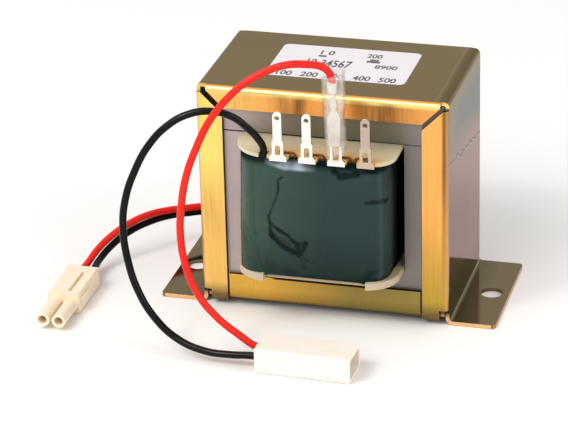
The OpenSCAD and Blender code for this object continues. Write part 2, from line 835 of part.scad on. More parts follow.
// Body with two round tubes, a slot along the top and a latch ridge on each side
module plug_housing() {
    latch_x = plug_len - latch_len - latch_inset;
    color(nylon)
        translate(plug_at)
            rotate([0, 0, plug_turn])
                difference() {
                    union() {
                        moulded_bar(plug_len, plug_w, plug_h);
                        for (way = [1, 2])
                            along_x(plug_len - joint_lap, way_y(way), plug_h / 2, tube_len + joint_lap,
                                tube_d);
                        for (side = [-1, 1])
                            translate([latch_x, side * plug_w / 2 - latch_t, plug_h / 4])
                                cube([latch_len, 2 * latch_t, plug_h / 2]);
                    }
                    translate([slot_at[0], slot_at[1] - slot_w / 2, plug_h - slot_d])
                        cube([slot_len, slot_w, slot_d + cut_over]);
                    way_holes(plug_h, rear_wall + contact_len + joint_lap);
                    for (way = [1, 2])
                        along_x(rear_wall + contact_len, way_y(way), plug_h / 2,
                            plug_len + tube_len, tube_bore);
                }
}

// Contact of the plug
module plug_contact(way) {
    color("#c9a24a")
        translate(plug_at)
            rotate([0, 0, plug_turn])
                contact(plug_h, way);
}

bracket();
base_channel();
e_core();
i_core();
bobbin();
primary_winding();
layer_insulation();
secondary_winding();
outer_wrap();
lug(1);  // lug_1
lug(2);  // lug_2
lug(3);  // lug_3
lug(4);  // lug_4
tap(1);  // tap_1
tap(2);  // tap_2
tap(3);  // tap_3
tap(4);  // tap_4
quick_connect();
clear_sleeve();
top_label();
black_front_lead();
red_front_lead();
black_rear_lead();
red_rear_lead();
socket_housing();
plug_housing();
socket_contact(1);  // socket_contact_1
socket_contact(2);  // socket_contact_2
plug_contact(1);  // plug_contact_1
plug_contact(2);  // plug_contact_2
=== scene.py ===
"""Dresses the solids of a speaker line transformer: finishes, leads, wrinkled tape and printed label."""

import math

import bmesh
import bpy
from mathutils import Matrix, Vector, noise


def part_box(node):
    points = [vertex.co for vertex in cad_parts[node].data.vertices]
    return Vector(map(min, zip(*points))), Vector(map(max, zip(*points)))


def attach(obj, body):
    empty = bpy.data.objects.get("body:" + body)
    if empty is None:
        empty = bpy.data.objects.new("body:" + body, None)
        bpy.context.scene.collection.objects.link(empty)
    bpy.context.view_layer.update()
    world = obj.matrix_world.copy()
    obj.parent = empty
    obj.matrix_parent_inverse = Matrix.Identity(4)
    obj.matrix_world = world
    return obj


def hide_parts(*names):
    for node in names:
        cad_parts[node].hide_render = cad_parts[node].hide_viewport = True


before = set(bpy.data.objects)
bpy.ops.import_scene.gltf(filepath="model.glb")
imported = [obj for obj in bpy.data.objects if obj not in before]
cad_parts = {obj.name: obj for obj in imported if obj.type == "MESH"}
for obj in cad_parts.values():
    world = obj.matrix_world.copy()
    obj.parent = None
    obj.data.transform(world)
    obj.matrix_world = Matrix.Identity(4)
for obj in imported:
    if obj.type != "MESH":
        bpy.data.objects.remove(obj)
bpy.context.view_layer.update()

bl_info = {
    "name": "Speaker line transformer",
    "version": (1, 0, 0),
    "blender": (4, 5, 0),
    "location": "View3D > Sidebar > Transformer",
    "description": "Dresses the solids of a line transformer and sets its stage",
    "category": "Object",
}

MM = 0.001
BODY = "root"
PHOTO_WIDTH_PX = 568
SENSOR_MM = 36.0
# Share of the terminal's lean that the sleeve and the lead's first bend follow
SOFT_LEAN = 0.6

# Routes of the leads in millimetres, from the coil to the connector
BLACK_FRONT_ROUTE = [
    (-14.5, -37, 58.1), (-14.5, -37, 60.5), (-15.5, -38.5, 64), (-18, -41, 68.5), (-22.5, -43, 72.8),
    (-28.5, -44.5, 74.5), (-35, -46, 73.5), (-41, -47.5, 70), (-46.5, -49, 64), (-51, -50.5, 55.5),
    (-54, -52, 46), (-54.5, -53.5, 37.5), (-53, -55, 28), (-49.5, -57, 19), (-44, -59, 11.5),
    (-36.5, -60.8, 6), (-27.5, -62.3, 3.6), (-19, -63, 3.6), (-13, -63, 4), (-7.6, -63.2, 4),
]
RED_FRONT_ROUTE = [
    (8.5, -38.2, 81), (8.5, -38.2, 84.4), (7.4, -38.6, 87.4), (4.7, -39.5, 89.5), (0.5, -40.6, 90.3),
    (-5.5, -41.9, 90.1), (-11.4, -43.4, 88.1), (-16.9, -45.3, 85), (-22, -46.9, 80.4), (-27.2, -49, 73.6),
    (-31.1, -51, 65.4), (-34.3, -52.4, 56), (-35.9, -53.4, 46), (-36.1, -54.5, 37.5), (-34.5, -55.6, 28.4),
    (-30.8, -56.6, 19.8), (-24.6, -57.6, 12.9), (-17.9, -57.8, 7.9), (-13, -57.9, 4.8), (-10.6, -57.9, 4.1),
    (-7.4, -58, 4),
]
BLACK_REAR_ROUTE = [
    (-12, 37, 58.1), (-12, 37, 59.1), (-12.19, 37.29, 60.86), (-12.74, 38.13, 62.35),
    (-13.56, 39.37, 63.35), (-14.6, 40.95, 63.75), (-17.1, 43.3, 63.2), (-20.2, 45.4, 61),
    (-24, 46.9, 57.4), (-28.4, 47.6, 51.6), (-33.6, 47.2, 43.4), (-38.6, 45, 34.2), (-41.8, 40.8, 25.2),
    (-43.6, 35.3, 17.2), (-46.2, 29.2, 12), (-50.5, 23.9, 9.7), (-55.4, 20, 9.9), (-61.3, 15.3, 10.4),
    (-67, 9.1, 10.3), (-72.4, 2, 9), (-76.2, -4, 6.6), (-78, -9, 4.7), (-78.3, -14, 3.8),
    (-77.7, -18.5, 3.4), (-77.4, -21.4, 3.4), (-77.4, -23.4, 3.4),
]
RED_REAR_ROUTE = [
    (-17, 37, 58.1), (-17, 37, 59.1), (-17.21, 37.28, 60.86), (-17.81, 38.08, 62.35),
    (-18.72, 39.29, 63.38), (-19.9, 40.8, 63.85), (-22.4, 42.8, 63.7), (-25.7, 44.5, 62),
    (-29.4, 45.6, 58.5), (-33.4, 46, 52.8), (-37.6, 45.4, 45.4), (-41.4, 43.4, 37), (-44, 39.4, 28.2),
    (-45.4, 33.9, 20), (-47.4, 27.8, 14.4), (-50.8, 22.4, 12.2), (-55.8, 18.4, 12.3), (-61.6, 13.8, 12.9),
    (-67.5, 7.8, 13.1), (-73, 1.2, 11.6), (-77, -4, 9.2), (-79.6, -9, 6.7), (-81, -13.8, 4.6),
    (-82.2, -18.4, 3.5), (-82.6, -21.2, 3.4), (-82.6, -23.2, 3.4),
]

# Creases in the front of the tape, in millimetres: x and z of the fold, half width, depth, and the darkness
# of the shade painted in it
TAPE_CREASES = [
    ([(-8.7, 51.8), (-10.2, 50.6), (-10.1, 46.9), (-11.4, 43.2), (-13.3, 38.5)], 0.38, 0.3, 0.85),
    ([(-13.3, 38.5), (-12.9, 36.2), (-12.8, 33.1), (-12.2, 32.2)], 0.6, 0.4, 1.0),
    ([(-12.7, 36.5), (-11.7, 35.2), (-10, 34.3)], 0.65, 0.3, 0.95),
    ([(-12.6, 32.6), (-10.5, 30.3), (-8, 28.3), (-5.9, 27.2), (-3.8, 26.7)], 1.0, 0.15, 1.1),
    ([(-10, 34), (-7.9, 32.7), (-6.2, 31), (-4.5, 29.9), (-1.8, 30.5)], 0.65, 0.4, 0.95),
    ([(-1.8, 30.5), (-2.9, 28.6), (-4, 26.4)], 0.95, 0.12, 1.1),
    ([(-4.3, 29.1), (-4, 27.6)], 1.1, 0.1, 1.0),
    ([(-3.8, 26.5), (-3, 24), (-2.8, 21.8)], 0.4, 0.25, 0.35),
    ([(7.4, 55), (9.4, 53.9), (11.9, 54.1), (14.6, 54.8)], 1.0, 0.15, 1.2),
    ([(8.6, 53.1), (9.8, 53), (11.5, 53.6)], 0.6, 0.2, 1.0),
    ([(16.1, 55.5), (19, 55.9)], 0.5, 0.2, 0.7),
    ([(17, 45.9), (18.9, 46.4), (21, 46.5)], 0.6, 0.2, 1.2),
    ([(18.1, 46.7), (20.2, 47)], 0.4, 0.3, 0.9),
]
# Crushed patch between the creases, as its middle, half sizes and the darkness of the shade painted in it
TAPE_CRUSH = ((-7.2, 29.6), (5.2, 2.6), 0.25)
# Deepest dent in the film, which keeps it outside the winding
DEEPEST_DENT = -0.45
# Shoulder of the tape under the first two lugs, where the film leans back and carries a painted highlight
TAPE_SHOULDER = [(-14.6, 56), (-7.7, 54.4), (2.2, 54.6)]

# Sections of the terminal from its grip up to its cuff, in millimetres: the middle's x and y, the height, the
# half width, the half depth, and how far the front is drawn in between the rolled edges
TERMINAL_SECTIONS = (
    (7.95, -38.75, 64.3, 1.9, 0.8, 0.2), (7.95, -38.75, 64.5, 2.1, 0.95, 0.2),
    (8.0, -38.75, 72.8, 2.1, 0.95, 0.2), (8.0, -38.75, 73.5, 1.95, 0.9, 0.15),
    (7.85, -38.6, 75.3, 0.95, 0.7, 0.05), (7.8, -38.5, 76, 0.8, 0.65, 0), (7.8, -38.4, 76.5, 1.1, 0.9, 0),
    (7.75, -38.4, 78.3, 1.1, 0.9, 0), (7.7, -38.3, 78.9, 0.75, 0.65, 0), (7.6, -38.2, 80.5, 0.8, 0.7, 0),
    (7.55, -38.05, 81, 1.5, 1.45, 0), (7.45, -38.05, 84.1, 1.5, 1.45, 0), (7.45, -38.05, 84.3, 1.4, 1.35, 0),
)


def linear(hex_colour):
    """Linear red, green and blue of an sRGB hex colour, with full alpha."""
    values = [int(hex_colour[i:i + 2], 16) / 255 for i in (1, 3, 5)]
    return [*(v / 12.92 if v <= 0.04045 else ((v + 0.055) / 1.055) ** 2.4 for v in values), 1.0]


def colour_prop(name, description, hex_colour):
    """Colour property whose default is an sRGB hex colour."""
    return bpy.props.FloatVectorProperty(name=name, description=description, default=linear(hex_colour),
                                         size=4, min=0, max=1, subtype="COLOR")


def length_prop(name, description, millimetres):
    """Length property in metres whose default is given in millimetres."""
    return bpy.props.FloatProperty(name=name, description=description, default=millimetres * MM, min=0,
                                   precision=5, subtype="DISTANCE", unit="LENGTH")


def angle_prop(name, description, degrees):
    """Angle property whose default is given in degrees."""
    return bpy.props.FloatProperty(name=name, description=description, default=math.radians(degrees),
                                   subtype="ANGLE", unit="ROTATION")


def power_prop(name, description, watts):
    """Power of a lamp."""
    return bpy.props.FloatProperty(name=name, description=description, default=watts, unit="POWER")


class FinishColours(bpy.types.PropertyGroup):
    """Colours of the finishes in plain light"""
    # Plate colours by face are partly the film's own tint and partly painted reflection, such as the darker
    # olive top
    plate_top: colour_prop("Plate, top", "Chromate film on the top plate", "#7e6c46")
    # Painted shade along the folds from the top to the sides
    plate_side_fold_shade: colour_prop("Plate, side folds", "Film along the folds to the sides", "#665531")
    plate_foot: colour_prop("Plate, feet", "Chromate film on the feet", "#736549")
    # Painted reflection of the side plate, darkening the feet near the sides
    plate_foot_side_reflection: colour_prop("Plate, feet inside", "Film on the feet near the sides", "#5f5b3d")
    # Yellow and gold on the left flanges against orange and ochre on the right: partly the film's tint,
    # partly painted light from the left
    plate_yellow: colour_prop("Plate, yellow", "Film high on the left flanges", "#fbe07a")
    plate_gold: colour_prop("Plate, gold", "Film low on the left flanges", "#fac86c")
    plate_orange: colour_prop("Plate, orange", "Film high on the right flanges", "#fbb460")
    plate_ochre: colour_prop("Plate, ochre", "Film low on the right flanges", "#c4a243")
    # Painted dark reflection high beside the right folds
    plate_right_fold_shade: colour_prop("Plate, rust", "Film high beside the right folds", "#7f512b")
    plate_brown: colour_prop("Plate, brown", "Film at the lower ends of the flanges", "#7e6641")
    plate_amber: colour_prop("Plate, amber", "Film on the upper flanges", "#f0a659")
    # Painted highlight band along the front folds
    plate_painted_band: colour_prop("Plate, bright", "Film on the front folds", "#f6d983")
    plate_honey: colour_prop("Plate, honey", "Film on the left of the base channel", "#e2b04e")
    plate_olive: colour_prop("Plate, olive", "Film on the right of the base channel", "#9a8649")
    plate_mauve: colour_prop("Plate, mauve", "Film on the sides", "#b48a81")
    plate_rose: colour_prop("Plate, rose", "Film low on the sides", "#ca9e98")
    plate_teal: colour_prop("Plate, teal", "Film high on the sides", "#727d71")
    plate_sage: colour_prop("Plate, sage", "Film on the sides near the front", "#9a8a6f")
    plate_tan: colour_prop("Plate, tan", "Film under the top folds", "#96835f")
    plate_scratch: colour_prop("Plate, ragged line", "Edge of a stain on the sides", "#4f4340")
    plate_bare: colour_prop("Plate, bare", "Zinc laid bare along the ragged line", "#cfc6bb")
    plate_low: colour_prop("Plate, low", "Film on the sides near the feet", "#9b8464")
    # Painted highlight on the upright folds and the mitre faces
    plate_painted_glint: colour_prop("Plate, upright folds", "Film on the upright folds", "#e6b070")
    edge_bright: colour_prop("Edge, bright", "Sheared edge of the feet", "#efc08a")
    # Painted shade on the sheared edges of the flanges and as a shadow line on the channel under the coil
    painted_shade: colour_prop("Edge, shaded", "Sheared edge of the flanges", "#33261a")
    lamination: colour_prop("Lamination", "Face of the rolled core steel", "#bcadab")
    # Painted shade towards the right of the core
    lamination_right_shade: colour_prop("Lamination, dark", "Oiled face of the core steel", "#8a837f")
    # Painted shade on the middle of the upper stack, under the flange and lugs
    lamination_upper_shade: colour_prop("Lamination, top", "Stained face of the upper stack", "#7a7767")
    # Dark joint of the stacks, and painted shade where the flanges cover the steel
    joint_and_shade: colour_prop("Oil", "Oil in the joints of the core", "#241f1c")
    bobbin: colour_prop("Bobbin", "Moulded nylon of the spool", "#d2c4a3")
    # Painted shade beside the core and on the lower rims
    bobbin_shade: colour_prop("Bobbin, dusty", "Nylon soiled beside the core", "#b3a78a")
    # Painted light on the left of the spool
    bobbin_lit_left: colour_prop("Bobbin, pale", "Cleaner nylon on the left", "#e6dabb")
    varnish: colour_prop("Varnish", "Amber varnish round the lugs", "#dcaa4c")
    copper: colour_prop("Copper", "Enamelled winding wire", "#80491f")
    paper: colour_prop("Paper", "Insulation between the windings", "#cbb07a")
    tape: colour_prop("Tape", "Dark green film tape", "#0b2c2b")
    # Painted light on the left of the tape
    tape_lit_left: colour_prop("Tape, pale", "Looser film on the left", "#2f4a3e")
    # Painted shade in the creases of the tape
    tape_crease_shade: colour_prop("Tape, creased", "Creases of the film tape", "#051718")
    tape_shadow: colour_prop("Tape, shaded", "Film in the core's window", "#030708")
    # Painted highlight over the shoulder and a faint one along the right corner
    tape_highlight: colour_prop("Tape, stretched", "Film whitened over the shoulder", "#8f9aa8")
    tin: colour_prop("Tin", "Bright tin on the lugs", "#f6f2ea")
    tin_dull: colour_prop("Tin, dull", "Tarnish on the last lug", "#bfaaa2")
    tin_worn: colour_prop("Tin, worn", "Tin of the last lug", "#cbb6a0")
    tin_stained: colour_prop("Tin, stained", "Varnish on the third lug", "#c6a27a")
    # Painted shade in the drawn-in front of the terminal
    tin_shaded: colour_prop("Tin, shaded", "Dull front of the terminal", "#dbd2c0")
    tin_grey: colour_prop("Tin, grey", "Greyer tin of the terminal", "#e9e3d4")
    vinyl_clear: colour_prop("Clear vinyl", "Sleeve over the terminal", "#f7f1e6")
    label: colour_prop("Label", "Coated white paper", "#e2dbdf")
    print_ink: colour_prop("Print", "Ink of the numbers", "#2b272e")
    vinyl_red: colour_prop("Red vinyl", "Insulation of the red leads", "#e2271d")
    vinyl_black: colour_prop("Black vinyl", "Insulation of the black leads", "#080808")
    nylon: colour_prop("Nylon", "Natural nylon of the socket", "#fcf0e3")
    nylon_aged: colour_prop("Nylon, aged", "Yellower nylon of the plug", "#f4e2c6")
    brass: colour_prop("Brass", "Contacts in the connectors", "#b98a3c")
    floor: colour_prop("Floor", "Pale studio floor", "#f7f6f4")


class PieceSizes(bpy.types.PropertyGroup):
    """Sizes of what the scene adds to the solids"""
    lead_diameter: length_prop("Lead diameter", "Outer diameter of the leads", 2.3)
    sheet_edge: length_prop("Sheet edge", "Rounding of the sheet's edges", 0.14)
    mitre_wider: length_prop("Left mitre", "How much wider the left front mitre gapes", 0.7)
    mould_edge: length_prop("Mould edge", "Rounding of the moulded edges", 0.3)
    lug_edge: length_prop("Lug edge", "Rounding of the stamped lugs", 0.08)
    tape_corner: length_prop("Tape corner", "Corner radius of the taped coil", 7.5)
    tape_thickness: length_prop("Tape thickness", "Build of the tape's turns", 0.6)
    tape_mesh: length_prop("Tape mesh", "Spacing of the tape's mesh in front", 0.28)
    tape_side_mesh: length_prop("Tape side mesh", "Spacing of the tape's mesh on the sides", 1.0)
    terminal_lean: length_prop("Terminal lean", "Lean of the terminal's upper end to the left", 1.1)
    sleeve_wall: length_prop("Sleeve wall", "Wall of the clear sleeve", 0.5)
    digit_height: length_prop("Digit height", "Height of the smaller printed numbers", 3.2)


class StageSizes(bpy.types.PropertyGroup):
    """Camera and light of the studio"""
    azimuth: angle_prop("Azimuth", "Camera's turn round the object", 15.809)
    elevation: angle_prop("Elevation", "Camera's height angle", 24.694)
    roll: angle_prop("Roll", "Camera's tilt about its own axis", -1.5)
    place: bpy.props.FloatVectorProperty(name="Place", description="Camera's place in the object's frame",
                                         default=(0.21172, -0.81518, 0.41136), size=3, subtype="XYZ",
                                         unit="LENGTH")
    focal_px: bpy.props.FloatProperty(name="Focal length", description="In pixels of the photograph",
                                      default=2944.07)
    key_power: power_prop("Key light", "Power of the large soft light", 12.0)
    fill_power: power_prop("Fill light", "Power of the light from the right", 4.0)
    small_power: power_prop("Small light", "Power of the light for highlights", 1.6)
    ambient: bpy.props.FloatProperty(name="Ambient", description="Strength of the room's own light",
                                     default=0.68, min=0)


# Places of the inputs and the output of a Mix node for colours
FACTOR, COLOUR_A, COLOUR_B = 0, 6, 7
MIXED = 2
# Places of the two inputs of a Mix node for numbers
NUMBER_A, NUMBER_B = 2, 3
# Edge tint that keeps a metal's colour even at a slant
EVEN_TINT = (0.68, 0.68, 0.68, 1.0)


def add_node(tree, kind, values=None):
    """Adds a node with its settings and with values or links on its inputs, and gives its outputs."""
    node = tree.nodes.new("ShaderNode" + kind)
    for name, value in (values or {}).items():
        if isinstance(name, str) and name not in node.inputs:
            setattr(node, name, value)
        elif isinstance(value, bpy.types.NodeSocket):
            tree.links.new(value, node.inputs[name])
        else:
            node.inputs[name].default_value = value
    return node.outputs


def new_material(name):
    """Material without a surface, its node tree and the place of a point in its object's frame."""
    material = bpy.data.materials.new(name)
    material.use_nodes = True
    tree = material.node_tree
    tree.nodes.clear()
    return material, tree, add_node(tree, "TexCoord")["Object"]


def finished(material, values):
    """The material with a principled surface that has the given values and links."""
    tree = material.node_tree
    surface = add_node(tree, "BsdfPrincipled", values)["BSDF"]
    add_node(tree, "OutputMaterial", {"Surface": surface})
    return material


def scale_for(millimetres):
    """Texture scale at which one feature has the given size."""
    return 1 / (millimetres * MM)


def share_of(tree, measures, *limits):
    """Product of limits. Each is a number, a link, or a measure with the places in millimetres where it
    starts to count and where it counts fully."""
    share = None
    for limit in limits:
        if isinstance(limit, tuple):
            measure, start, full = limit
            limit = add_node(tree, "MapRange", {"Value": measures[measure], "From Min": start * MM,
                                                "From Max": full * MM})["Result"]
        if share is None:
            share = limit
        else:
            share = add_node(tree, "Math", {"operation": "MULTIPLY", 0: share, 1: limit})[0]
    return share


def layered(tree, measures, base, *coats):
    """Base colour under coats, each given by its colour and the limits of its share."""
    for colour, *limits in coats:
        share = share_of(tree, measures, *limits)
        base = add_node(tree, "Mix", {"data_type": "RGBA", FACTOR: share, COLOUR_A: base,
                                      COLOUR_B: colour})[MIXED]
    return base


def varied(tree, colour, cause, factors, limits=(0.0, 1.0)):
    """Colour whose brightness goes from one factor to the other as its cause goes between two limits."""
    factor = add_node(tree, "MapRange", {"Value": cause, "From Min": limits[0], "From Max": limits[1],
                                         "To Min": factors[0], "To Max": factors[1]})["Result"]
    return add_node(tree, "HueSaturation", {"Color": colour, "Value": factor})["Color"]


def mottled(tree, place, colour, millimetres, detail, factors):
    """Colour that is darker and lighter in spots of the given size, and the noise that makes the spots."""
    spots = add_node(tree, "TexNoise", {"Vector": place, "Scale": scale_for(millimetres),
                                        "Detail": detail})["Fac"]
    return varied(tree, colour, spots, factors), spots


def plated_sheet(finish):
    """Yellow chromate over zinc on rolled steel: a bright, nearly mirror-smooth metal whose thin film turns
    from olive on top through gold on the flanges to teal and mauve on the sides, with rolling streaks. These
    colours by face are partly the film's own tint and partly painted reflection, with painted highlights
    along the folds and painted shade on edges and beside folds."""
    material, tree, place = new_material("Yellow chromate zinc plate")
    spot = add_node(tree, "SeparateXYZ", {"Vector": place})
    looks = add_node(tree, "Attribute", {"attribute_name": "facing"})["Vector"]
    facing = add_node(tree, "SeparateXYZ", {"Vector": looks})
    cloud = add_node(tree, "TexNoise", {"Vector": place, "Scale": scale_for(20), "Detail": 3.0})["Fac"]
    grain = add_node(tree, "TexNoise", {"Vector": place, "Scale": scale_for(4), "Detail": 5.0})["Fac"]
    upright = add_node(tree, "Mapping", {"Vector": place, "Scale": (1.0, 1.0, 0.05)})["Vector"]
    streak = add_node(tree, "TexNoise", {"Vector": upright, "Scale": scale_for(1.1), "Detail": 4.0})["Fac"]

    # Measures along the axes, out from the middle, from the mitres, and along two slopes on the sides
    outward = add_node(tree, "Math", {"operation": "ABSOLUTE", 0: spot["X"]})[0]
    from_mitre = add_node(tree, "Math", {"operation": "SUBTRACT", 0: spot["Z"], 1: outward})[0]
    steep, gentle = (add_node(tree, "Math", {"operation": "MULTIPLY_ADD", 0: spot["Y"], 1: slope,
                                             2: spot["Z"]})[0] for slope in (0.48, 0.17))
    ragged = add_node(tree, "Math", {"operation": "MULTIPLY_ADD", 0: grain, 1: 5 * MM, 2: gentle})[0]
    measures = {"X": spot["X"], "Y": spot["Y"], "Z": spot["Z"], "outward": outward, "from mitre": from_mitre,
                "steep": steep, "ragged": ragged}
    at_foot = ("Z", 4, 2)
    on_upper = ("from mitre", 34.6, 35.4)
    over_stain = ("ragged", 54.5, 62)
    line, torn, peeled = (
        add_node(tree, "Math", {"operation": "COMPARE", 0: measures[name], 1: middle * MM, 2: half * MM})[0]
        for name, middle, half in (("X", 35.2, 0.25), ("ragged", 52.4, 0.32), ("ragged", 51.8, 0.25)))

    # Top and feet: olive, with painted shade along the folds to the sides behind a faint bright line, and a
    # painted reflection of the sides darkening the feet near them
    flat = layered(tree, measures, finish.plate_top, (finish.plate_side_fold_shade, ("X", 35.6, 37)),
                   (finish.plate_sage, line, 0.35), (finish.plate_foot, at_foot),
                   (finish.plate_foot_side_reflection, ("outward", 47, 42), at_foot))

    # Flanges: yellow over gold on the left, orange over ochre on the right, brown at the lower ends; the left
    # flanges are lighter partly by painted light from the left, and a painted dark reflection runs high
    # beside the right folds
    right = layered(tree, measures, finish.plate_orange, (finish.plate_ochre, ("Z", 38, 9)),
                    (finish.plate_right_fold_shade, ("X", 37, 38), ("Z", 5, 52)))
    amber = layered(tree, measures, finish.plate_amber, (finish.plate_gold, ("X", -14, -26)))
    flange = layered(tree, measures, finish.plate_gold, (finish.plate_yellow, ("Z", 36, 50)),
                     (right, ("X", -15, 22)), (finish.plate_brown, ("Z", 8, 3.6)), (amber, on_upper))

    # Upper flanges: streaked and smudged under a painted highlight band along the fold
    streaked = varied(tree, flange, streak, (0.9, 1.06), (0.3, 0.7))
    left_smudge = share_of(tree, measures, ("X", -9.4, -7.6), ("X", -4, -6))
    right_smudge = share_of(tree, measures, ("X", 8, 15), ("X", 34, 20))
    smudge = add_node(tree, "Math", {"operation": "MAXIMUM", 0: left_smudge, 1: right_smudge})[0]
    blot = add_node(tree, "MapRange", {"Value": streak, "From Min": 0.4, "From Max": 0.62, "To Min": 0.55,
                                       "To Max": 1.0})["Result"]
    dark = share_of(tree, measures, smudge, blot, on_upper)
    smudged = add_node(tree, "HueSaturation", {"Color": streaked, "Value": 0.36, "Fac": dark})["Color"]
    banded = layered(tree, measures, smudged, (finish.plate_painted_band, ("Z", 71.5, 72.4)),
                     (finish.plate_amber, ("Z", 73.3, 73.8)))

    # Base channel: honey on the left, olive on the right, darker low down, and a painted shadow line under
    # the coil
    channel = layered(tree, measures, finish.plate_honey, (finish.plate_olive, ("X", -18, 9)))
    low_down = share_of(tree, measures, ("Z", 7.2, 4))
    dimmed = add_node(tree, "HueSaturation", {"Color": channel, "Value": 0.7, "Fac": low_down})["Color"]
    shaded = layered(tree, measures, dimmed,
                     (finish.painted_shade, ("Z", 10.45, 10.65), ("X", -17, -15.6), ("X", 17.8, 16.4)))
    between = add_node(tree, "Math", {"operation": "LESS_THAN", 0: outward, 1: 31.1 * MM})[0]
    front = layered(tree, measures, banded, (shaded, between, ("Z", 11.6, 11.4)))

    # Sides: mauve below a ragged sloping line, teal above it, sage near the front, tan under the top fold
    broken = add_node(tree, "MapRange", {"Value": cloud, "From Min": 0.35, "From Max": 0.55, "To Min": 0.45,
                                         "To Max": 1.0})["Result"]
    cells = add_node(tree, "TexVoronoi", {"Vector": place, "Scale": scale_for(9)})["Distance"]
    pits = add_node(tree, "MapRange", {"Value": cells, "From Min": 0.06, "From Max": 0.04})["Result"]
    side = layered(tree, measures, finish.plate_mauve, (finish.plate_rose, ("Z", 35, 14)),
                   (finish.plate_low, ("steep", 13, 3)), (finish.plate_teal, over_stain),
                   (finish.plate_sage, ("Y", -6, -19), over_stain), (finish.plate_tan, ("Z", 66, 71)),
                   (finish.plate_bare, peeled, cloud), (finish.plate_scratch, torn, broken),
                   (finish.plate_scratch, pits))

    # Each face takes the colour of the way it looks, partly the film's tint and partly painted reflection,
    # such as the darker top; the upright folds and mitre faces get a painted highlight
    frontal = add_node(tree, "MapRange", {"Value": facing["Y"], "From Min": 0.0, "From Max": 0.1})["Result"]
    sideways = add_node(tree, "MapRange", {"Value": facing["X"], "From Min": 0.3, "From Max": 0.9})["Result"]
    folded = layered(tree, measures, flat, (front, frontal), (side, sideways),
                     (finish.plate_painted_glint, facing["X"], facing["Y"], 2.0))
    # Sheared edges: bright bare steel at the feet, painted shade above them
    edge = layered(tree, measures, finish.painted_shade, (finish.edge_bright, at_foot))
    cut = add_node(tree, "Attribute", {"attribute_name": "cut_edge"})["Fac"]
    colour = layered(tree, measures, varied(tree, folded, cloud, (0.94, 1.06)), (edge, cut))
    brushed = add_node(tree, "MapRange", {"Value": streak, "To Min": 0.22, "To Max": 0.36})["Result"]
    satin = add_node(tree, "Mix", {FACTOR: frontal, NUMBER_A: 0.1, NUMBER_B: brushed})[0]
    return finished(material, {"Base Color": colour, "Roughness": satin, "Metallic": 1.0,
                               "Specular Tint": EVEN_TINT})


def lamination_steel(finish):
    """Rolled silicon steel with a thin oxide: a dull warm-grey metal, the sheets' edges as fine lines, dark
    along the joint of the two stacks, with painted shade where the flanges cover it, towards the right and on
    the middle of the upper stack."""
    material, tree, place = new_material("Silicon steel laminations")
    spot = add_node(tree, "SeparateXYZ", {"Vector": place})
    outward = add_node(tree, "Math", {"operation": "ABSOLUTE", 0: spot["X"]})[0]
    measures = {"X": spot["X"], "Z": spot["Z"], "outward": outward}
    mottle = add_node(tree, "TexNoise", {"Vector": place, "Scale": scale_for(9), "Detail": 5.0,
                                         "Roughness": 0.65})["Fac"]
    joint = 59.3 * MM
    upper = add_node(tree, "Math", {"operation": "GREATER_THAN", 0: spot["Z"], 1: joint})[0]
    # Face darker towards the right and on the upper stack's middle: painted shade
    face = layered(tree, measures, finish.lamination, (finish.lamination_right_shade, ("X", -25, 25)),
                   (finish.lamination_upper_shade, ("X", -34, -2), ("X", 31, 20), upper))
    worn = varied(tree, face, mottle, (0.92, 1.06), (0.3, 0.7))
    sheets = add_node(tree, "Math", {"operation": "MULTIPLY", 0: spot["Y"], 1: scale_for(0.5)})[0]
    within = add_node(tree, "Math", {"operation": "FRACT", 0: sheets})[0]
    gap = add_node(tree, "Math", {"operation": "LESS_THAN", 0: within, 1: 0.25})[0]
    lined = add_node(tree, "HueSaturation", {"Color": worn, "Value": 0.45, "Fac": gap})["Color"]
    # Dark joint of the two stacks, and painted shade where the flanges cover the steel, lighter on the right
    joint_and_shade_share = add_node(tree, "Math", {"operation": "COMPARE", 0: spot["Z"], 1: joint, 2: 0.22 * MM})[0]
    for covered in (("outward", 30.9, 31.2), ("Z", 66.5, 66.9)):
        share = share_of(tree, measures, covered)
        joint_and_shade_share = add_node(tree, "Math", {"operation": "MAXIMUM", 0: joint_and_shade_share, 1: share})[0]
    joint_and_shade_tone = layered(tree, measures, finish.joint_and_shade, (finish.lamination_right_shade, ("X", 15, 32), 0.45))
    dull = add_node(tree, "MapRange", {"Value": mottle, "To Min": 0.34, "To Max": 0.55})["Result"]
    return finished(material, {"Base Color": layered(tree, measures, lined, (joint_and_shade_tone, joint_and_shade_share)), "Roughness": dull,
                               "Metallic": 0.85, "Specular Tint": EVEN_TINT})


def moulded_nylon(finish):
    """Injection-moulded nylon of the spool: a soft cream with a low gloss, stained by varnish at the lugs,
    with painted light on the left and painted shade beside the core and low down.
    """
    material, tree, place = new_material("Cream nylon moulding")
    spot = add_node(tree, "SeparateXYZ", {"Vector": place})
    cloud = add_node(tree, "TexNoise", {"Vector": place, "Scale": scale_for(5), "Detail": 3.0})["Fac"]
    blotch = add_node(tree, "MapRange", {"Value": cloud, "From Min": 0.25, "From Max": 0.55})["Result"]
    # Painted light on the left, painted shade beside the core and low down, real varnish round the lugs
    tinted = layered(tree, spot, finish.bobbin, (finish.bobbin_lit_left, ("X", -12, -20)),
                     (finish.bobbin_shade, ("Y", -32, -23.5)), (finish.bobbin_shade, ("Z", 22, 20), 0.6),
                     (finish.varnish, blotch, ("Y", -29, -38), ("Z", 50, 57), ("X", -16, -11), ("X", 24, 18)))
    gloss = add_node(tree, "MapRange", {"Value": cloud, "To Min": 0.32, "To Max": 0.5})["Result"]
    return finished(material, {"Base Color": varied(tree, tinted, cloud, (0.93, 1.05)), "Roughness": gloss,
                               "IOR": 1.53, "Subsurface Weight": 0.15, "Subsurface Scale": 0.8 * MM})


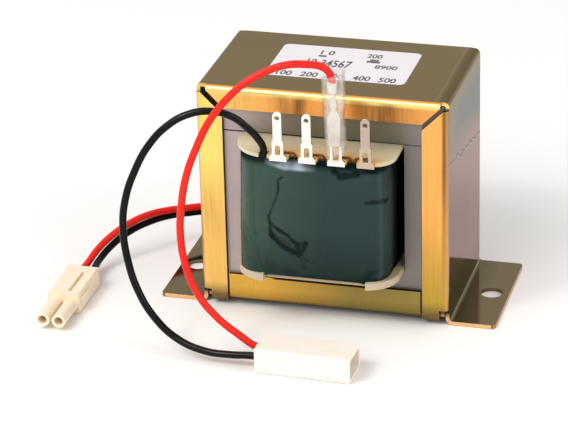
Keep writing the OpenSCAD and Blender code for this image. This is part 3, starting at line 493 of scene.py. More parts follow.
def winding_wire(finish):
    """Enamelled copper wire laid in turns: a warm brown metal with fine ridges along each turn."""
    material, tree, place = new_material("Enamelled copper wire")
    height = add_node(tree, "SeparateXYZ", {"Vector": place})["Z"]
    turns = add_node(tree, "Math", {"operation": "MULTIPLY", 0: height, 1: scale_for(0.6)})[0]
    ridge = add_node(tree, "Math", {"operation": "PINGPONG", 0: turns, 1: 0.5})[0]
    colour, _ = mottled(tree, place, finish.copper, 3, 2.0, (0.7, 1.2))
    bump = add_node(tree, "Bump", {"Strength": 0.7, "Distance": 0.3 * MM, "Height": ridge})["Normal"]
    return finished(material, {"Base Color": colour, "Normal": bump, "Metallic": 0.7, "Roughness": 0.35})


def kraft_paper(finish):
    """Kraft insulation paper: a dry tan sheet with short fibres."""
    material, tree, place = new_material("Kraft paper")
    colour, _ = mottled(tree, place, finish.paper, 0.8, 4.0, (0.8, 1.15))
    return finished(material, {"Base Color": colour, "Roughness": 0.8})


def film_tape(finish):
    """Polyester film tape over the coil: dark green and glossy, lighter on the left by painted light, darker
    low down by painted shade, nearly black and dull by painted shade in its creases, in the core's window and
    under the flange, and with a painted highlight over the shoulder where the film leans back."""
    material, tree, place = new_material("Green polyester tape")
    spot = add_node(tree, "SeparateXYZ", {"Vector": place})
    fold, shadow, painted_highlight = (add_node(tree, "Attribute", {"attribute_name": name})["Fac"]
                               for name in ("fold", "shadow", "painted_highlight"))
    cloud = add_node(tree, "TexNoise", {"Vector": place, "Scale": scale_for(14), "Detail": 2.0})["Fac"]
    # Painted light on the left and painted shade low down
    lit_tape = layered(tree, spot, finish.tape, (finish.tape_lit_left, ("X", 4, -20)))
    low = share_of(tree, spot, ("Z", 36, 20))
    cloudy = add_node(tree, "MapRange", {"Value": cloud, "To Min": 0.75, "To Max": 1.25})["Result"]
    shade = add_node(tree, "Math", {"operation": "MULTIPLY_ADD", 0: low, 1: -0.4, 2: cloudy})[0]
    clouded = add_node(tree, "HueSaturation", {"Color": lit_tape, "Value": shade})["Color"]
    colour = layered(tree, spot, clouded, (finish.tape_crease_shade, fold), (finish.tape_highlight, painted_highlight),
                     (finish.tape_shadow, shadow))
    sheen = add_node(tree, "MapRange", {"Value": low, "To Min": 0.36, "To Max": 0.2})["Result"]
    rough = add_node(tree, "MapRange", {"Value": cloud, "To Min": 0.08, "To Max": 0.2})["Result"]
    for amount, least, rougher in ((fold, 0.35, 0.4), (shadow, 0.1, 1.2)):
        kept = add_node(tree, "MapRange", {"Value": amount, "To Min": 1.0, "To Max": least})["Result"]
        sheen = share_of(tree, spot, sheen, kept)
        rough = add_node(tree, "Math", {"operation": "MULTIPLY_ADD", 0: amount, 1: rougher, 2: rough})[0]
    return finished(material, {"Base Color": colour, "Specular IOR Level": sheen, "Roughness": rough,
                               "IOR": 1.5})


def tin_plate(name, colour, tarnish, blade=None):
    """Bright tin on stamped brass: an almost white metal, softly mottled where the tin flowed, and duller
    between the edges of a tarnished blade, which is given by its middle, or else by the worn attribute, which
    on the terminal is painted shade in its drawn-in front."""
    material, tree, place = new_material(name)
    measures = {}
    limits = [add_node(tree, "Attribute", {"attribute_name": "worn"})["Fac"]]
    if blade:
        spot = add_node(tree, "SeparateXYZ", {"Vector": place})
        aside = add_node(tree, "Math", {"operation": "SUBTRACT", 0: spot["X"], 1: blade.x})[0]
        away = add_node(tree, "Math", {"operation": "ABSOLUTE", 0: aside})[0]
        measures = {"away": away, "Z": spot["Z"]}
        limits = [("away", 1.35, 0.95), ("Z", blade.z / MM - 3, blade.z / MM)]
    tone = layered(tree, measures, colour, (tarnish, *limits))
    shiny, flow = mottled(tree, place, tone, 1.5, 2.0, (0.88, 1.08))
    satin = add_node(tree, "MapRange", {"Value": flow, "To Min": 0.14, "To Max": 0.3})["Result"]
    bump = add_node(tree, "Bump", {"Strength": 0.1, "Distance": 0.05 * MM, "Height": flow})["Normal"]
    return finished(material, {"Base Color": shiny, "Roughness": satin, "Normal": bump, "Metallic": 1.0})


def clear_vinyl(finish):
    """Extruded clear vinyl: a soft transparent tube with a slightly wavy, milky and glossy skin."""
    material, tree, place = new_material("Clear vinyl")
    wave = add_node(tree, "TexNoise", {"Vector": place, "Scale": scale_for(2.5), "Detail": 1.0})["Fac"]
    milk = add_node(tree, "BsdfPrincipled", {"Base Color": finish.vinyl_clear, "Roughness": 0.3})["BSDF"]
    clear = add_node(tree, "BsdfTransparent")["BSDF"]
    amount = add_node(tree, "MapRange", {"Value": wave, "From Min": 0.35, "From Max": 0.7, "To Min": 0.02,
                                         "To Max": 0.15})["Result"]
    milky = add_node(tree, "MixShader", {0: amount, 1: clear, 2: milk})["Shader"]
    slant = add_node(tree, "LayerWeight", {"Blend": 0.25})["Facing"]
    shine = add_node(tree, "MapRange", {"Value": slant, "To Min": 0.03, "To Max": 0.7})["Result"]
    bump = add_node(tree, "Bump", {"Strength": 0.15, "Distance": 0.3 * MM, "Height": wave})["Normal"]
    gloss = add_node(tree, "BsdfGlossy", {"Roughness": 0.04, "Normal": bump})["BSDF"]
    skin = add_node(tree, "MixShader", {0: shine, 1: milky, 2: gloss})["Shader"]
    add_node(tree, "OutputMaterial", {"Surface": skin})
    return material


def coated_paper(finish):
    """Coated label paper: a clean cool white with the faintest fibre and a low sheen."""
    material, tree, place = new_material("Coated label paper")
    colour, _ = mottled(tree, place, finish.label, 1.5, 4.0, (0.96, 1.03))
    return finished(material, {"Base Color": colour, "Roughness": 0.5})


def printed_ink(finish):
    """Stamped ink: a soft dark grey that is thinner in places."""
    material, tree, place = new_material("Stamped ink")
    worn = add_node(tree, "TexNoise", {"Vector": place, "Scale": scale_for(0.7), "Detail": 2.0})["Fac"]
    thin = add_node(tree, "MapRange", {"Value": worn, "From Min": 0.5, "From Max": 0.75,
                                       "To Max": 0.5})["Result"]
    colour = layered(tree, {}, finish.print_ink, (finish.label, thin))
    return finished(material, {"Base Color": colour, "Roughness": 0.6})


def wire_vinyl(name, colour):
    """Extruded vinyl insulation: an even colour with a soft gloss and a faint unevenness along the wire."""
    material, tree, place = new_material(name)
    tinted, uneven = mottled(tree, place, colour, 3, 2.0, (0.88, 1.1))
    gloss = add_node(tree, "MapRange", {"Value": uneven, "To Min": 0.1, "To Max": 0.2})["Result"]
    bump = add_node(tree, "Bump", {"Strength": 0.08, "Distance": 0.1 * MM, "Height": uneven})["Normal"]
    return finished(material, {"Base Color": tinted, "Roughness": gloss, "Normal": bump,
                               "Specular IOR Level": 0.17})


def natural_nylon(name, colour):
    """Natural nylon of a connector body: a milky cream that lets some light in, with a fine texture."""
    material, tree, place = new_material(name)
    tinted, _ = mottled(tree, place, colour, 4, 2.0, (0.95, 1.04))
    grit = add_node(tree, "TexNoise", {"Vector": place, "Scale": scale_for(0.35), "Detail": 1.0})["Fac"]
    bump = add_node(tree, "Bump", {"Strength": 0.1, "Distance": 0.03 * MM, "Height": grit})["Normal"]
    return finished(material, {"Base Color": tinted, "Normal": bump, "Roughness": 0.4, "IOR": 1.53,
                               "Subsurface Weight": 0.25, "Subsurface Scale": 1.2 * MM})


def plain_brass(finish):
    """Drawn brass of the contacts: a yellow metal with fine lines from drawing."""
    material, tree, place = new_material("Drawn brass")
    colour, _ = mottled(tree, place, finish.brass, 0.5, 3.0, (0.85, 1.1))
    return finished(material, {"Base Color": colour, "Metallic": 1.0, "Roughness": 0.3})


def studio_paint(finish):
    """Pale matt paint of the studio floor: nearly even."""
    material, tree, place = new_material("Painted studio floor")
    colour, _ = mottled(tree, place, finish.floor, 300, 2.0, (0.99, 1.01))
    return finished(material, {"Base Color": colour, "Roughness": 0.9, "Specular IOR Level": 0.1})


def mesh_of(shape, name):
    """Mesh of a finished bmesh, which is freed."""
    mesh = bpy.data.meshes.new(name)
    shape.to_mesh(mesh)
    shape.free()
    return mesh


def ramp(value, start, full):
    """How far a value has come from start to full, between 0 and 1."""
    return max(0.0, min(1.0, (value - start) / (full - start)))


def finish_node(node, material):
    """Gives a solid that stays in view its material."""
    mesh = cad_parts[node].data
    mesh.materials.clear()
    mesh.materials.append(material)


def add_piece(name, mesh, material, slot, *nodes):
    """Links a mesh as a piece of the object, in place of the named solids."""
    piece = bpy.data.objects.new(name, mesh)
    bpy.context.scene.collection.objects.link(piece)
    mesh.materials.clear()
    mesh.materials.append(material)
    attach(piece, BODY)
    if nodes:
        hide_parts(*nodes)
    return piece


def merged_copy(node):
    """Mesh of a solid with its loose triangles merged into whole faces."""
    shape = bmesh.new()
    shape.from_mesh(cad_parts[node].data)
    bmesh.ops.remove_doubles(shape, verts=shape.verts, dist=0.0005 * MM)
    bmesh.ops.dissolve_limit(shape, angle_limit=math.radians(0.4), verts=shape.verts, edges=shape.edges)
    return mesh_of(shape, node + "_merged")


def soften(piece, width, segments=2):
    """Rounds a piece's sharp edges and shades its folds smoothly while flat faces stay flat."""
    piece.data.shade_smooth()
    bevel = piece.modifiers.new("Rounded edges", "BEVEL")
    bevel.width = width
    bevel.segments = segments
    bevel.profile = 0.5
    bevel.limit_method = "ANGLE"
    bevel.angle_limit = math.radians(40)
    bevel.miter_outer = "MITER_ARC"
    flat = piece.modifiers.new("Flat faces", "WEIGHTED_NORMAL")
    flat.keep_sharp = True
    flat.weight = 100


def lean_terminal(points, lean):
    """Leans the pieces on the third lug to the left, from the sleeve's lower end up to its rim."""
    low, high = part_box("clear_sleeve")
    for point in points:
        point.co.x -= lean * max(0.0, (point.co.z - low.z) / (high.z - low.z))


def mark_sheet(mesh):
    """Stores which way each face of folded sheet looks, and which faces are sheared edges."""
    mesh.attributes.new("facing", "FLOAT_VECTOR", "FACE")
    mesh.attributes.new("cut_edge", "FLOAT", "FACE")
    facing = mesh.attributes["facing"]
    cut = mesh.attributes["cut_edge"]
    widest_cut = 1.25 * MM
    mitre_level = 67 * MM
    hole_place = Vector((48, 0)) * MM
    hole_reach = 4 * MM
    flange_start = 22 * MM
    nearly = 0.01
    for face in mesh.polygons:
        normal = face.normal
        from_hole = Vector((abs(face.center.x), face.center.y)) - hole_place
        in_hole = from_hole.length < hole_reach
        diagonal = abs(normal.y) < nearly and abs(abs(normal.x) - abs(normal.z)) < nearly
        facing.data[face.index].vector = (normal.x ** 2, normal.y ** 2, normal.z ** 2)
        # Hole walls take the top's olive instead of their sides' colours: painted shade inside the holes
        if in_hole:
            facing.data[face.index].vector = (0, 0, 1)
        # Mitre faces are marked half frontal and half sideways so that they take the painted highlight of the
        # upright folds
        if diagonal and abs(face.center.y) > flange_start:
            facing.data[face.index].vector = (0.7, 0.7, 0)
        outline = [mesh.vertices[v].co for v in face.vertices]
        around = sum((a - b).length for a, b in zip(outline, outline[1:] + outline[:1]))
        flat = max(abs(c) for c in normal) > 0.9999
        narrow = 2 * face.area / around < widest_cut
        cut.data[face.index].value = float(narrow and flat and not in_hole and face.center.z < mitre_level)


def open_left_mitre(mesh, wider):
    """Draws back the left end of the upper front flange, where the mitre gapes more than on the right."""
    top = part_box("bracket")[1].z
    flange_end = -31.23 * MM
    fold_end = -36.83 * MM
    fold_depth = 1.65 * MM
    near = 0.05 * MM
    front = -22 * MM
    moved = 0
    for vert in mesh.vertices:
        drop = top - vert.co.z
        in_fold = abs(vert.co.x - fold_end) < near and drop < fold_depth
        at_end = abs(vert.co.x - flange_end) < near and 7 * MM < drop < 7.4 * MM
        if vert.co.y < front and (in_fold or at_end):
            vert.co.x += wider
            moved += 1
    if not moved:
        raise ValueError("the bracket has no left mitre to open")


class TRANSFORMER_OT_stage(bpy.types.Operator):
    """Sets the camera, the pale floor and the soft studio light"""
    bl_idname = "transformer.stage"
    bl_label = "Set the stage"

    def execute(self, context):
        sizes = context.scene.transformer_stage
        self.add_camera(context, sizes)
        self.add_floor(context)
        self.add_world(context, sizes)
        self.add_lamp(context, "key_light", (-0.55, -0.95, 1.15), 1.0, sizes.key_power)
        self.add_lamp(context, "fill_light", (1.1, -0.35, 0.7), 0.8, sizes.fill_power)
        self.add_lamp(context, "small_light", (-0.5, -0.6, 0.85), 0.16, sizes.small_power)
        context.scene.view_settings.view_transform = "Standard"
        return {"FINISHED"}

    def add_camera(self, context, sizes):
        """Camera at the photograph's angle."""
        turn, rise = sizes.azimuth, sizes.elevation
        back = Vector((math.sin(turn) * math.cos(rise), -math.cos(turn) * math.cos(rise), math.sin(rise)))
        level = Vector((math.cos(turn), math.sin(turn), 0))
        upright = back.cross(level)
        right = level * math.cos(sizes.roll) + upright * math.sin(sizes.roll)
        up = back.cross(right)
        data = bpy.data.cameras.new("photo_camera")
        data.sensor_width = SENSOR_MM
        data.lens = sizes.focal_px * SENSOR_MM / PHOTO_WIDTH_PX
        data.clip_start = 0.01
        camera = bpy.data.objects.new("photo_camera", data)
        turned = Matrix((right, up, back)).transposed().to_4x4()
        camera.matrix_world = Matrix.Translation(Vector(sizes.place)) @ turned
        context.scene.collection.objects.link(camera)
        context.scene.camera = camera

    def add_floor(self, context):
        """Large pale floor just under the feet."""
        half_size = 4.0
        under_feet = Matrix.Translation((0, 0, -0.1 * MM))
        shape = bmesh.new()
        bmesh.ops.create_grid(shape, x_segments=1, y_segments=1, size=half_size, matrix=under_feet)
        mesh = mesh_of(shape, "floor")
        mesh.materials.append(studio_paint(context.scene.transformer_finish))
        floor = bpy.data.objects.new("floor", mesh)
        context.scene.collection.objects.link(floor)

    def add_world(self, context, sizes):
        """Room that looks white to the camera and in reflections, and lights the object evenly."""
        world = bpy.data.worlds.new("studio_room")
        world.use_nodes = True
        tree = world.node_tree
        tree.nodes.clear()
        ray = add_node(tree, "LightPath")
        seen = ray["Is Camera Ray"]
        for kind in ("Is Glossy Ray", "Is Transmission Ray"):
            seen = add_node(tree, "Math", {"operation": "MAXIMUM", 0: seen, 1: ray[kind]})[0]
        strength = add_node(tree, "MapRange", {"Value": seen, "To Min": sizes.ambient,
                                               "To Max": 1.0})["Result"]
        light = add_node(tree, "Background", {"Color": (1, 1, 1, 1), "Strength": strength})["Background"]
        add_node(tree, "OutputWorld", {"Surface": light})
        context.scene.world = world

    def add_lamp(self, context, name, place, side, power):
        """Square soft light that looks at the object."""
        data = bpy.data.lights.new(name, "AREA")
        data.energy = power
        data.size = side
        lamp = bpy.data.objects.new(name, data)
        lamp.location = place
        middle = Vector((0, 0, 0.03))
        lamp.rotation_euler = (middle - Vector(place)).to_track_quat("-Z", "Y").to_euler()
        context.scene.collection.objects.link(lamp)


class TRANSFORMER_OT_connectors(bpy.types.Operator):
    """Rounds the moulded edges of the socket and the plug and gives their contacts brass"""
    bl_idname = "transformer.connectors"
    bl_label = "Dress the connectors"

    def execute(self, context):
        finish = context.scene.transformer_finish
        fresh = natural_nylon("Natural nylon", finish.nylon)
        aged = natural_nylon("Aged natural nylon", finish.nylon_aged)
        for node, nylon in (("socket_housing", fresh), ("plug_housing", aged)):
            piece = add_piece(node + "_moulding", merged_copy(node), nylon, "connector_nylon", node)
            soften(piece, context.scene.transformer_sizes.mould_edge, 3)
        brass = plain_brass(finish)
        for node in ("socket_contact_1", "socket_contact_2", "plug_contact_1", "plug_contact_2"):
            finish_node(node, brass)
        return {"FINISHED"}


class TRANSFORMER_OT_leads(bpy.types.Operator):
    """Lays the four leads as smooth wires along their routes"""
    bl_idname = "transformer.leads"
    bl_label = "Lay the leads"

    def execute(self, context):
        finish = context.scene.transformer_finish
        red = wire_vinyl("Red vinyl insulation", finish.vinyl_red)
        black = wire_vinyl("Black vinyl insulation", finish.vinyl_black)
        self.lay(context, "black_front", BLACK_FRONT_ROUTE, 0.145, black, "black_vinyl", "socket")
        self.lay(context, "red_front", RED_FRONT_ROUTE, 0.137, red, "red_vinyl", "socket")
        self.lay(context, "black_rear", BLACK_REAR_ROUTE, 0.145, black, "black_vinyl", "plug")
        self.lay(context, "red_rear", RED_REAR_ROUTE, 0.141, red, "red_vinyl", "plug")
        return {"FINISHED"}

    def lay(self, context, name, route, length, material, slot, end):
        """One lead as a round curve through its route."""
        diameter = context.scene.transformer_sizes.lead_diameter
        curve = bpy.data.curves.new(name + "_wire", "CURVE")
        curve.dimensions = "3D"
        curve.bevel_depth = diameter / 2
        curve.bevel_resolution = 6
        curve.resolution_u = 8
        curve.use_fill_caps = True
        spline = curve.splines.new("BEZIER")
        spline.bezier_points.add(len(route) - 1)
        for point, place in zip(spline.bezier_points, route):
            point.co = Vector(place) * MM
            point.handle_left_type = "AUTO"
            point.handle_right_type = "AUTO"
        if name == "red_front":
            lean = context.scene.transformer_sizes.terminal_lean
            lean_terminal(spline.bezier_points[:2], lean)
            lean_terminal(spline.bezier_points[2:3], SOFT_LEAN * lean)
        curve.materials.append(material)
        wire = bpy.data.objects.new(name + "_wire", curve)
        context.scene.collection.objects.link(wire)
        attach(wire, BODY)
        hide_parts(name + "_lead")


class TRANSFORMER_OT_sheet_metal(bpy.types.Operator):
    """Gives the folded bracket and the base channel rounded edges and their plated finish"""
    bl_idname = "transformer.sheet_metal"
    bl_label = "Dress the sheet metal"

    def execute(self, context):
        sizes = context.scene.transformer_sizes
        plate = plated_sheet(context.scene.transformer_finish)
        for node in ("bracket", "base_channel"):
            mesh = merged_copy(node)
            mark_sheet(mesh)
            if node == "bracket":
                open_left_mitre(mesh, sizes.mitre_wider)
            piece = add_piece(node + "_sheet", mesh, plate, "plated_steel", node)
            soften(piece, sizes.sheet_edge)
        return {"FINISHED"}


class TRANSFORMER_OT_core(bpy.types.Operator):
    """Gives the lamination stacks their steel finish"""
    bl_idname = "transformer.core"
    bl_label = "Dress the core"

    def execute(self, context):
        steel = lamination_steel(context.scene.transformer_finish)
        for node in ("e_core", "i_core"):
            piece = add_piece(node + "_stack", merged_copy(node), steel, "lamination_steel", node)
            soften(piece, context.scene.transformer_sizes.lug_edge)
        return {"FINISHED"}


class TRANSFORMER_OT_bobbin(bpy.types.Operator):
    """Rounds the spool's moulded edges and gives it cream nylon"""
    bl_idname = "transformer.bobbin"
    bl_label = "Dress the bobbin"

    def execute(self, context):
        nylon = moulded_nylon(context.scene.transformer_finish)
        piece = add_piece("bobbin_moulding", merged_copy("bobbin"), nylon, "bobbin_nylon", "bobbin")
        soften(piece, context.scene.transformer_sizes.sheet_edge)
        return {"FINISHED"}


class TRANSFORMER_OT_windings(bpy.types.Operator):
    """Gives the windings, their taps and the paper between them their finishes"""
    bl_idname = "transformer.windings"
    bl_label = "Dress the windings"

    def execute(self, context):
        finish = context.scene.transformer_finish
        copper = winding_wire(finish)
        for node in ("primary_winding", "secondary_winding", "tap_1", "tap_2", "tap_3", "tap_4"):
            finish_node(node, copper)
        finish_node("layer_insulation", kraft_paper(finish))
        return {"FINISHED"}


class TRANSFORMER_OT_tape(bpy.types.Operator):
    """Models the film tape round the coil with its waves and creases"""
    bl_idname = "transformer.tape"
    bl_label = "Wrap the coil"

    def execute(self, context):
        sizes = context.scene.transformer_sizes
        low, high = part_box("outer_wrap")
        shape = self.rounded_tube(low, high, sizes)
        shape.normal_update()
        marks = ("fold", "painted_highlight", "shadow")
        for name in marks:
            shape.verts.layers.float.new(name)
        fold, painted_highlight, shadow = (shape.verts.layers.float[name] for name in marks)
        shifts = []
        for vert in shape.verts:
            spot = vert.co / MM
            depth, dark = self.creases(spot, vert.normal)
            lean, white = self.shoulder(spot, vert.normal)
            lift = max(self.waves(spot, vert.normal) + lean - depth, DEEPEST_DENT)
            lift += self.right_corner(spot, vert.normal, sizes.tape_corner / MM)
            shifts.append((vert.normal * lift + self.hem(spot, vert.normal)) * MM)
            # Painted shade on the right side in the core's window, on the left side and under the flange
            right_face = ramp(vert.normal.x, 0.62, 0.72)
            deep = ramp(spot.y, -32, -27)
            left_face = ramp(vert.normal.x, -0.75, -0.95)
            # Faint painted highlight line along the right corner
            right_edge = math.exp(-((vert.normal.x - 0.66) / 0.06) ** 2)
            under_flange = ramp(spot.z, 54.6, 56.8) * (1 - white)
            vert[fold] = dark
            vert[painted_highlight] = max(white, 0.06 * right_edge)
            vert[shadow] = max(right_face * (0.25 + 0.7 * deep), 0.4 * left_face, 0.8 * under_flange)
        for vert, shift in zip(shape.verts, shifts):
            vert.co += shift
        self.close_inside(shape, sizes.tape_thickness)
        mesh = mesh_of(shape, "tape_wrap")
        add_piece("tape_wrap", mesh, film_tape(context.scene.transformer_finish), "green_tape", "outer_wrap")
        mesh.shade_smooth()
        mesh.set_sharp_from_angle(angle=math.radians(60))
        return {"FINISHED"}

    def rounded_tube(self, low, high, sizes):
        """Open tube with round corners, divided finely enough for the creases."""
        shape = bmesh.new()
        span = high - low
        nearly = 0.01 * MM
        place = Matrix.Translation((low + high) / 2) @ Matrix.Diagonal((*span, 1))
        bmesh.ops.create_cube(shape, size=1, matrix=place)
        upright = [e for e in shape.edges if self.reach(e, 2) > span.z / 2]
        arc_steps = round(sizes.tape_corner * math.pi / 2 / sizes.tape_mesh)
        bmesh.ops.bevel(shape, geom=upright, offset=sizes.tape_corner, offset_type="OFFSET", affect="EDGES",
                        segments=arc_steps, profile=0.5, material=-1)
        ends = [f for f in shape.faces if abs(f.normal.z) > 0.5]
        bmesh.ops.delete(shape, geom=ends, context="FACES_ONLY")
        upright = [e for e in shape.edges if self.reach(e, 2) > span.z / 2]
        bmesh.ops.subdivide_edges(shape, edges=upright, cuts=round(span.z / sizes.tape_mesh) - 1,
                                  use_grid_fill=True)
        for axis, spacing in ((0, sizes.tape_mesh), (1, sizes.tape_side_mesh)):
            longest = max(self.reach(e, axis) for e in shape.edges)
            along = [e for e in shape.edges if abs(self.reach(e, axis) - longest) < nearly]
            bmesh.ops.subdivide_edges(shape, edges=along, cuts=round(longest / spacing) - 1,
                                      use_grid_fill=True)
        return shape

    def reach(self, edge, axis):
        """How far an edge reaches along an axis."""
        return abs(edge.verts[0].co[axis] - edge.verts[1].co[axis])

    def waves(self, spot, normal):
        """Slack of the film in millimetres: waves, creases, a belly in front and a loose left corner."""
        middle, half_height = 38.2, 20
        belly, crease = 0.6, 0.18
        height = 0.16 * noise.noise(spot / 13) + 0.05 * noise.noise(spot / 5 + Vector((7, 3, 1)))
        ridge = abs(noise.noise(spot / 17 + Vector((3, 9, 4))))
        height -= crease * ramp(ridge, 0.06, 0) * max(0.0, -normal.y)
        up = (spot.z - middle) / half_height
        height += belly * (1 - up ** 2) * normal.y ** 2
        loose = max(0.0, -normal.x) * ramp(spot.y, -8, -20)
        height += loose * (1.4 - 0.5 * up)
        return height

    def hem(self, spot, normal):
        """How far the film's lower edge is drawn up over the recess in the lower flange, in millimetres."""
        drawn_up = 0.5
        near_edge = ramp(spot.z, 22.2, 18.2)
        in_recess = min(ramp(spot.x, -15, -13), ramp(spot.x, 16, 14), ramp(normal.y, -0.6, -0.9))
        return Vector((0, 0, drawn_up * near_edge * in_recess))

    def right_corner(self, spot, normal, radius):
        """How far the squarer, bulging film stands out from the round right corner, in millimetres."""
        if normal.x <= 0 or normal.y > 0.01:
            return 0.0
        power = 6
        bulge = 0.9
        square = radius * ((abs(normal.x) ** power + abs(normal.y) ** power) ** (-1 / power) - 1)
        forward = ramp(spot.y, -20, -26)
        pressed = ramp(spot.z, 50, 56)
        lifted = ramp(spot.z, 18.5, 23.5)
        return lifted * (square + bulge * normal.x * forward * (1 - 0.6 * pressed))

    def shoulder(self, spot, normal):
        """How far the film stands out below the shoulder and leans back above it, and how much painted
        highlight it gets.
        """
        if normal.y > -0.7:
            return 0.0, 0.0
        (left, left_z), (bend, bend_z), (right, right_z) = TAPE_SHOULDER
        if spot.x < bend:
            line = left_z + (bend_z - left_z) * (spot.x - left) / (bend - left)
        else:
            line = bend_z + (right_z - bend_z) * (spot.x - bend) / (right - bend)
        stands_out, leans_back = 0.5, 0.55
        inside = min(ramp(spot.x, left, left + 2), ramp(spot.x, right, right - 4))
        over = spot.z - line
        lean = stands_out * ramp(over, -5, 0) ** 2 - leans_back * max(0.0, min(2.2, over))
        cloudy = 0.75 + 0.6 * noise.noise(spot / 3)
        white = min(ramp(over, -0.3, 0.5), ramp(over, 3.4, 2.2)) * cloudy
        return inside * lean, ramp(inside * white, 0, 1)

    def creases(self, spot, normal):
        """Depth in millimetres of the pressed creases at a point, and the darkness of the shade painted in
        them.
        """
        if normal.y > -0.5:
            return 0.0, 0.0
        depth, dark = 0.0, 0.0
        here = Vector((spot.x, spot.z)) + 0.35 * Vector((noise.noise(spot / 1.3), noise.noise(spot / 1.7)))
        uneven = 0.95 + 0.35 * noise.noise(spot / 2.2)
        for route, half_width, crease_depth, darkness in TAPE_CREASES:
            away = min(self.distance(here, Vector(a), Vector(b)) for a, b in zip(route, route[1:]))
            depth = max(depth, crease_depth * math.exp(-away / (1.6 * half_width)))
            dark = max(dark, darkness * uneven * math.exp(-(away / half_width) ** 4))
        (x, z), (half_x, half_z), crushed = TAPE_CRUSH
        tilted = here.y - z + 0.5 * (here.x - x)
        spread = ((here.x - x) / half_x) ** 2 + (tilted / half_z) ** 2
        rough = 0.5 + 1.2 * noise.noise(spot / 1.4)
        dark = max(dark, crushed * math.exp(-spread ** 2) * ramp(rough, 0, 1))
        depth += 0.25 * math.exp(-spread ** 2) * rough
        return depth, ramp(dark, 0, 1)

    def distance(self, point, start, end):
        """Distance of a point from a straight stretch of a crease."""
        run = end - start
        share = ramp((point - start).dot(run), 0, run.length_squared)
        return (point - start - run * share).length

    def close_inside(self, shape, thickness):
        """Turns both rims inwards and joins them by an inner wall."""
        shape.normal_update()
        rim = [e for e in shape.edges if e.is_boundary]
        inward = {v.co.to_tuple(7): Vector((-v.normal.x, -v.normal.y, 0)).normalized()
                  for e in rim for v in e.verts}
        turned = bmesh.ops.extrude_edge_only(shape, edges=rim)["geom"]
        inner = [g for g in turned if isinstance(g, bmesh.types.BMEdge) and g.is_boundary]
        for vert in {v for e in inner for v in e.verts}:
            vert.co += inward[vert.co.to_tuple(7)] * thickness
        bmesh.ops.bridge_loops(shape, edges=inner)
        bmesh.ops.recalc_face_normals(shape, faces=shape.faces)


class TRANSFORMER_OT_lugs(bpy.types.Operator):
    """Gives the solder lugs soft edges and bright tin"""
    bl_idname = "transformer.lugs"
    bl_label = "Dress the lugs"

    def execute(self, context):
        finish = context.scene.transformer_finish
        sizes = context.scene.transformer_sizes
        bright = tin_plate("Bright tin plate", finish.tin, finish.tin_dull)
        low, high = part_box("lug_3")
        foot_height = 3.8 * MM
        above_foot = Vector(((low.x + high.x) / 2, high.y, low.z + foot_height))
        stained = tin_plate("Stained tin plate", finish.tin, finish.tin_stained, above_foot)
        low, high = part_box("lug_4")
        tarnished = tin_plate("Tarnished tin plate", finish.tin_worn, finish.tin_dull, (low + high) / 2)
        tins = {"lug_1": bright, "lug_2": bright, "lug_3": stained, "lug_4": tarnished}
        for node, tin in tins.items():
            piece = add_piece(node + "_stamping", merged_copy(node), tin, "tinned_brass", node)
            soften(piece, sizes.lug_edge)
        return {"FINISHED"}


class TRANSFORMER_OT_terminal(bpy.types.Operator):
    """Shapes the terminal on the third lug: a grip with rolled edges, a crimp and a cuff on the vinyl"""
    bl_idname = "transformer.terminal"
    bl_label = "Shape the terminal"

    def execute(self, context):
        finish = context.scene.transformer_finish
        last = len(TERMINAL_SECTIONS) - 1
        shape = bmesh.new()
        bmesh.ops.create_cone(shape, cap_ends=True, segments=64, radius1=1, radius2=1, depth=1)
        upright = [e for e in shape.edges if abs(e.verts[0].co.z - e.verts[1].co.z) > 0.5]
        bmesh.ops.subdivide_edges(shape, edges=upright, cuts=last - 1, use_grid_fill=True)
        # The worn layer holds the painted shade in the drawn-in front of the grip
        worn = shape.verts.layers.float.new("worn")
        for vert in shape.verts:
            section = TERMINAL_SECTIONS[round((vert.co.z + 0.5) * last)]
            vert[worn] = self.place(vert, *section)
        mesh = mesh_of(shape, "quick_connect_stamping")
        mesh.shade_smooth()
        mesh.set_sharp_from_angle(angle=math.radians(50))
        tin = tin_plate("Grey tin plate", finish.tin_grey, finish.tin_shaded)
        add_piece("quick_connect_stamping", mesh, tin, "tinned_brass", "quick_connect")
        return {"FINISHED"}

    def place(self, vert, x, y, z, half_width, half_depth, drawn_in):
        """Puts a point of the round bar on its section, and gives the share of painted shade in its drawn-in
        front.
        """
        across = math.copysign(abs(vert.co.x) ** 0.6, vert.co.x)
        along = math.copysign(abs(vert.co.y) ** 0.6, vert.co.y)
        middle = max(0.0, 1 - (abs(across + 0.2) / 0.55) ** 4) if along < -0.5 else 0.0
        vert.co = Vector((x + half_width * across, y + half_depth * along + drawn_in * middle, z)) * MM
        return middle * min(1.0, drawn_in / 0.4)


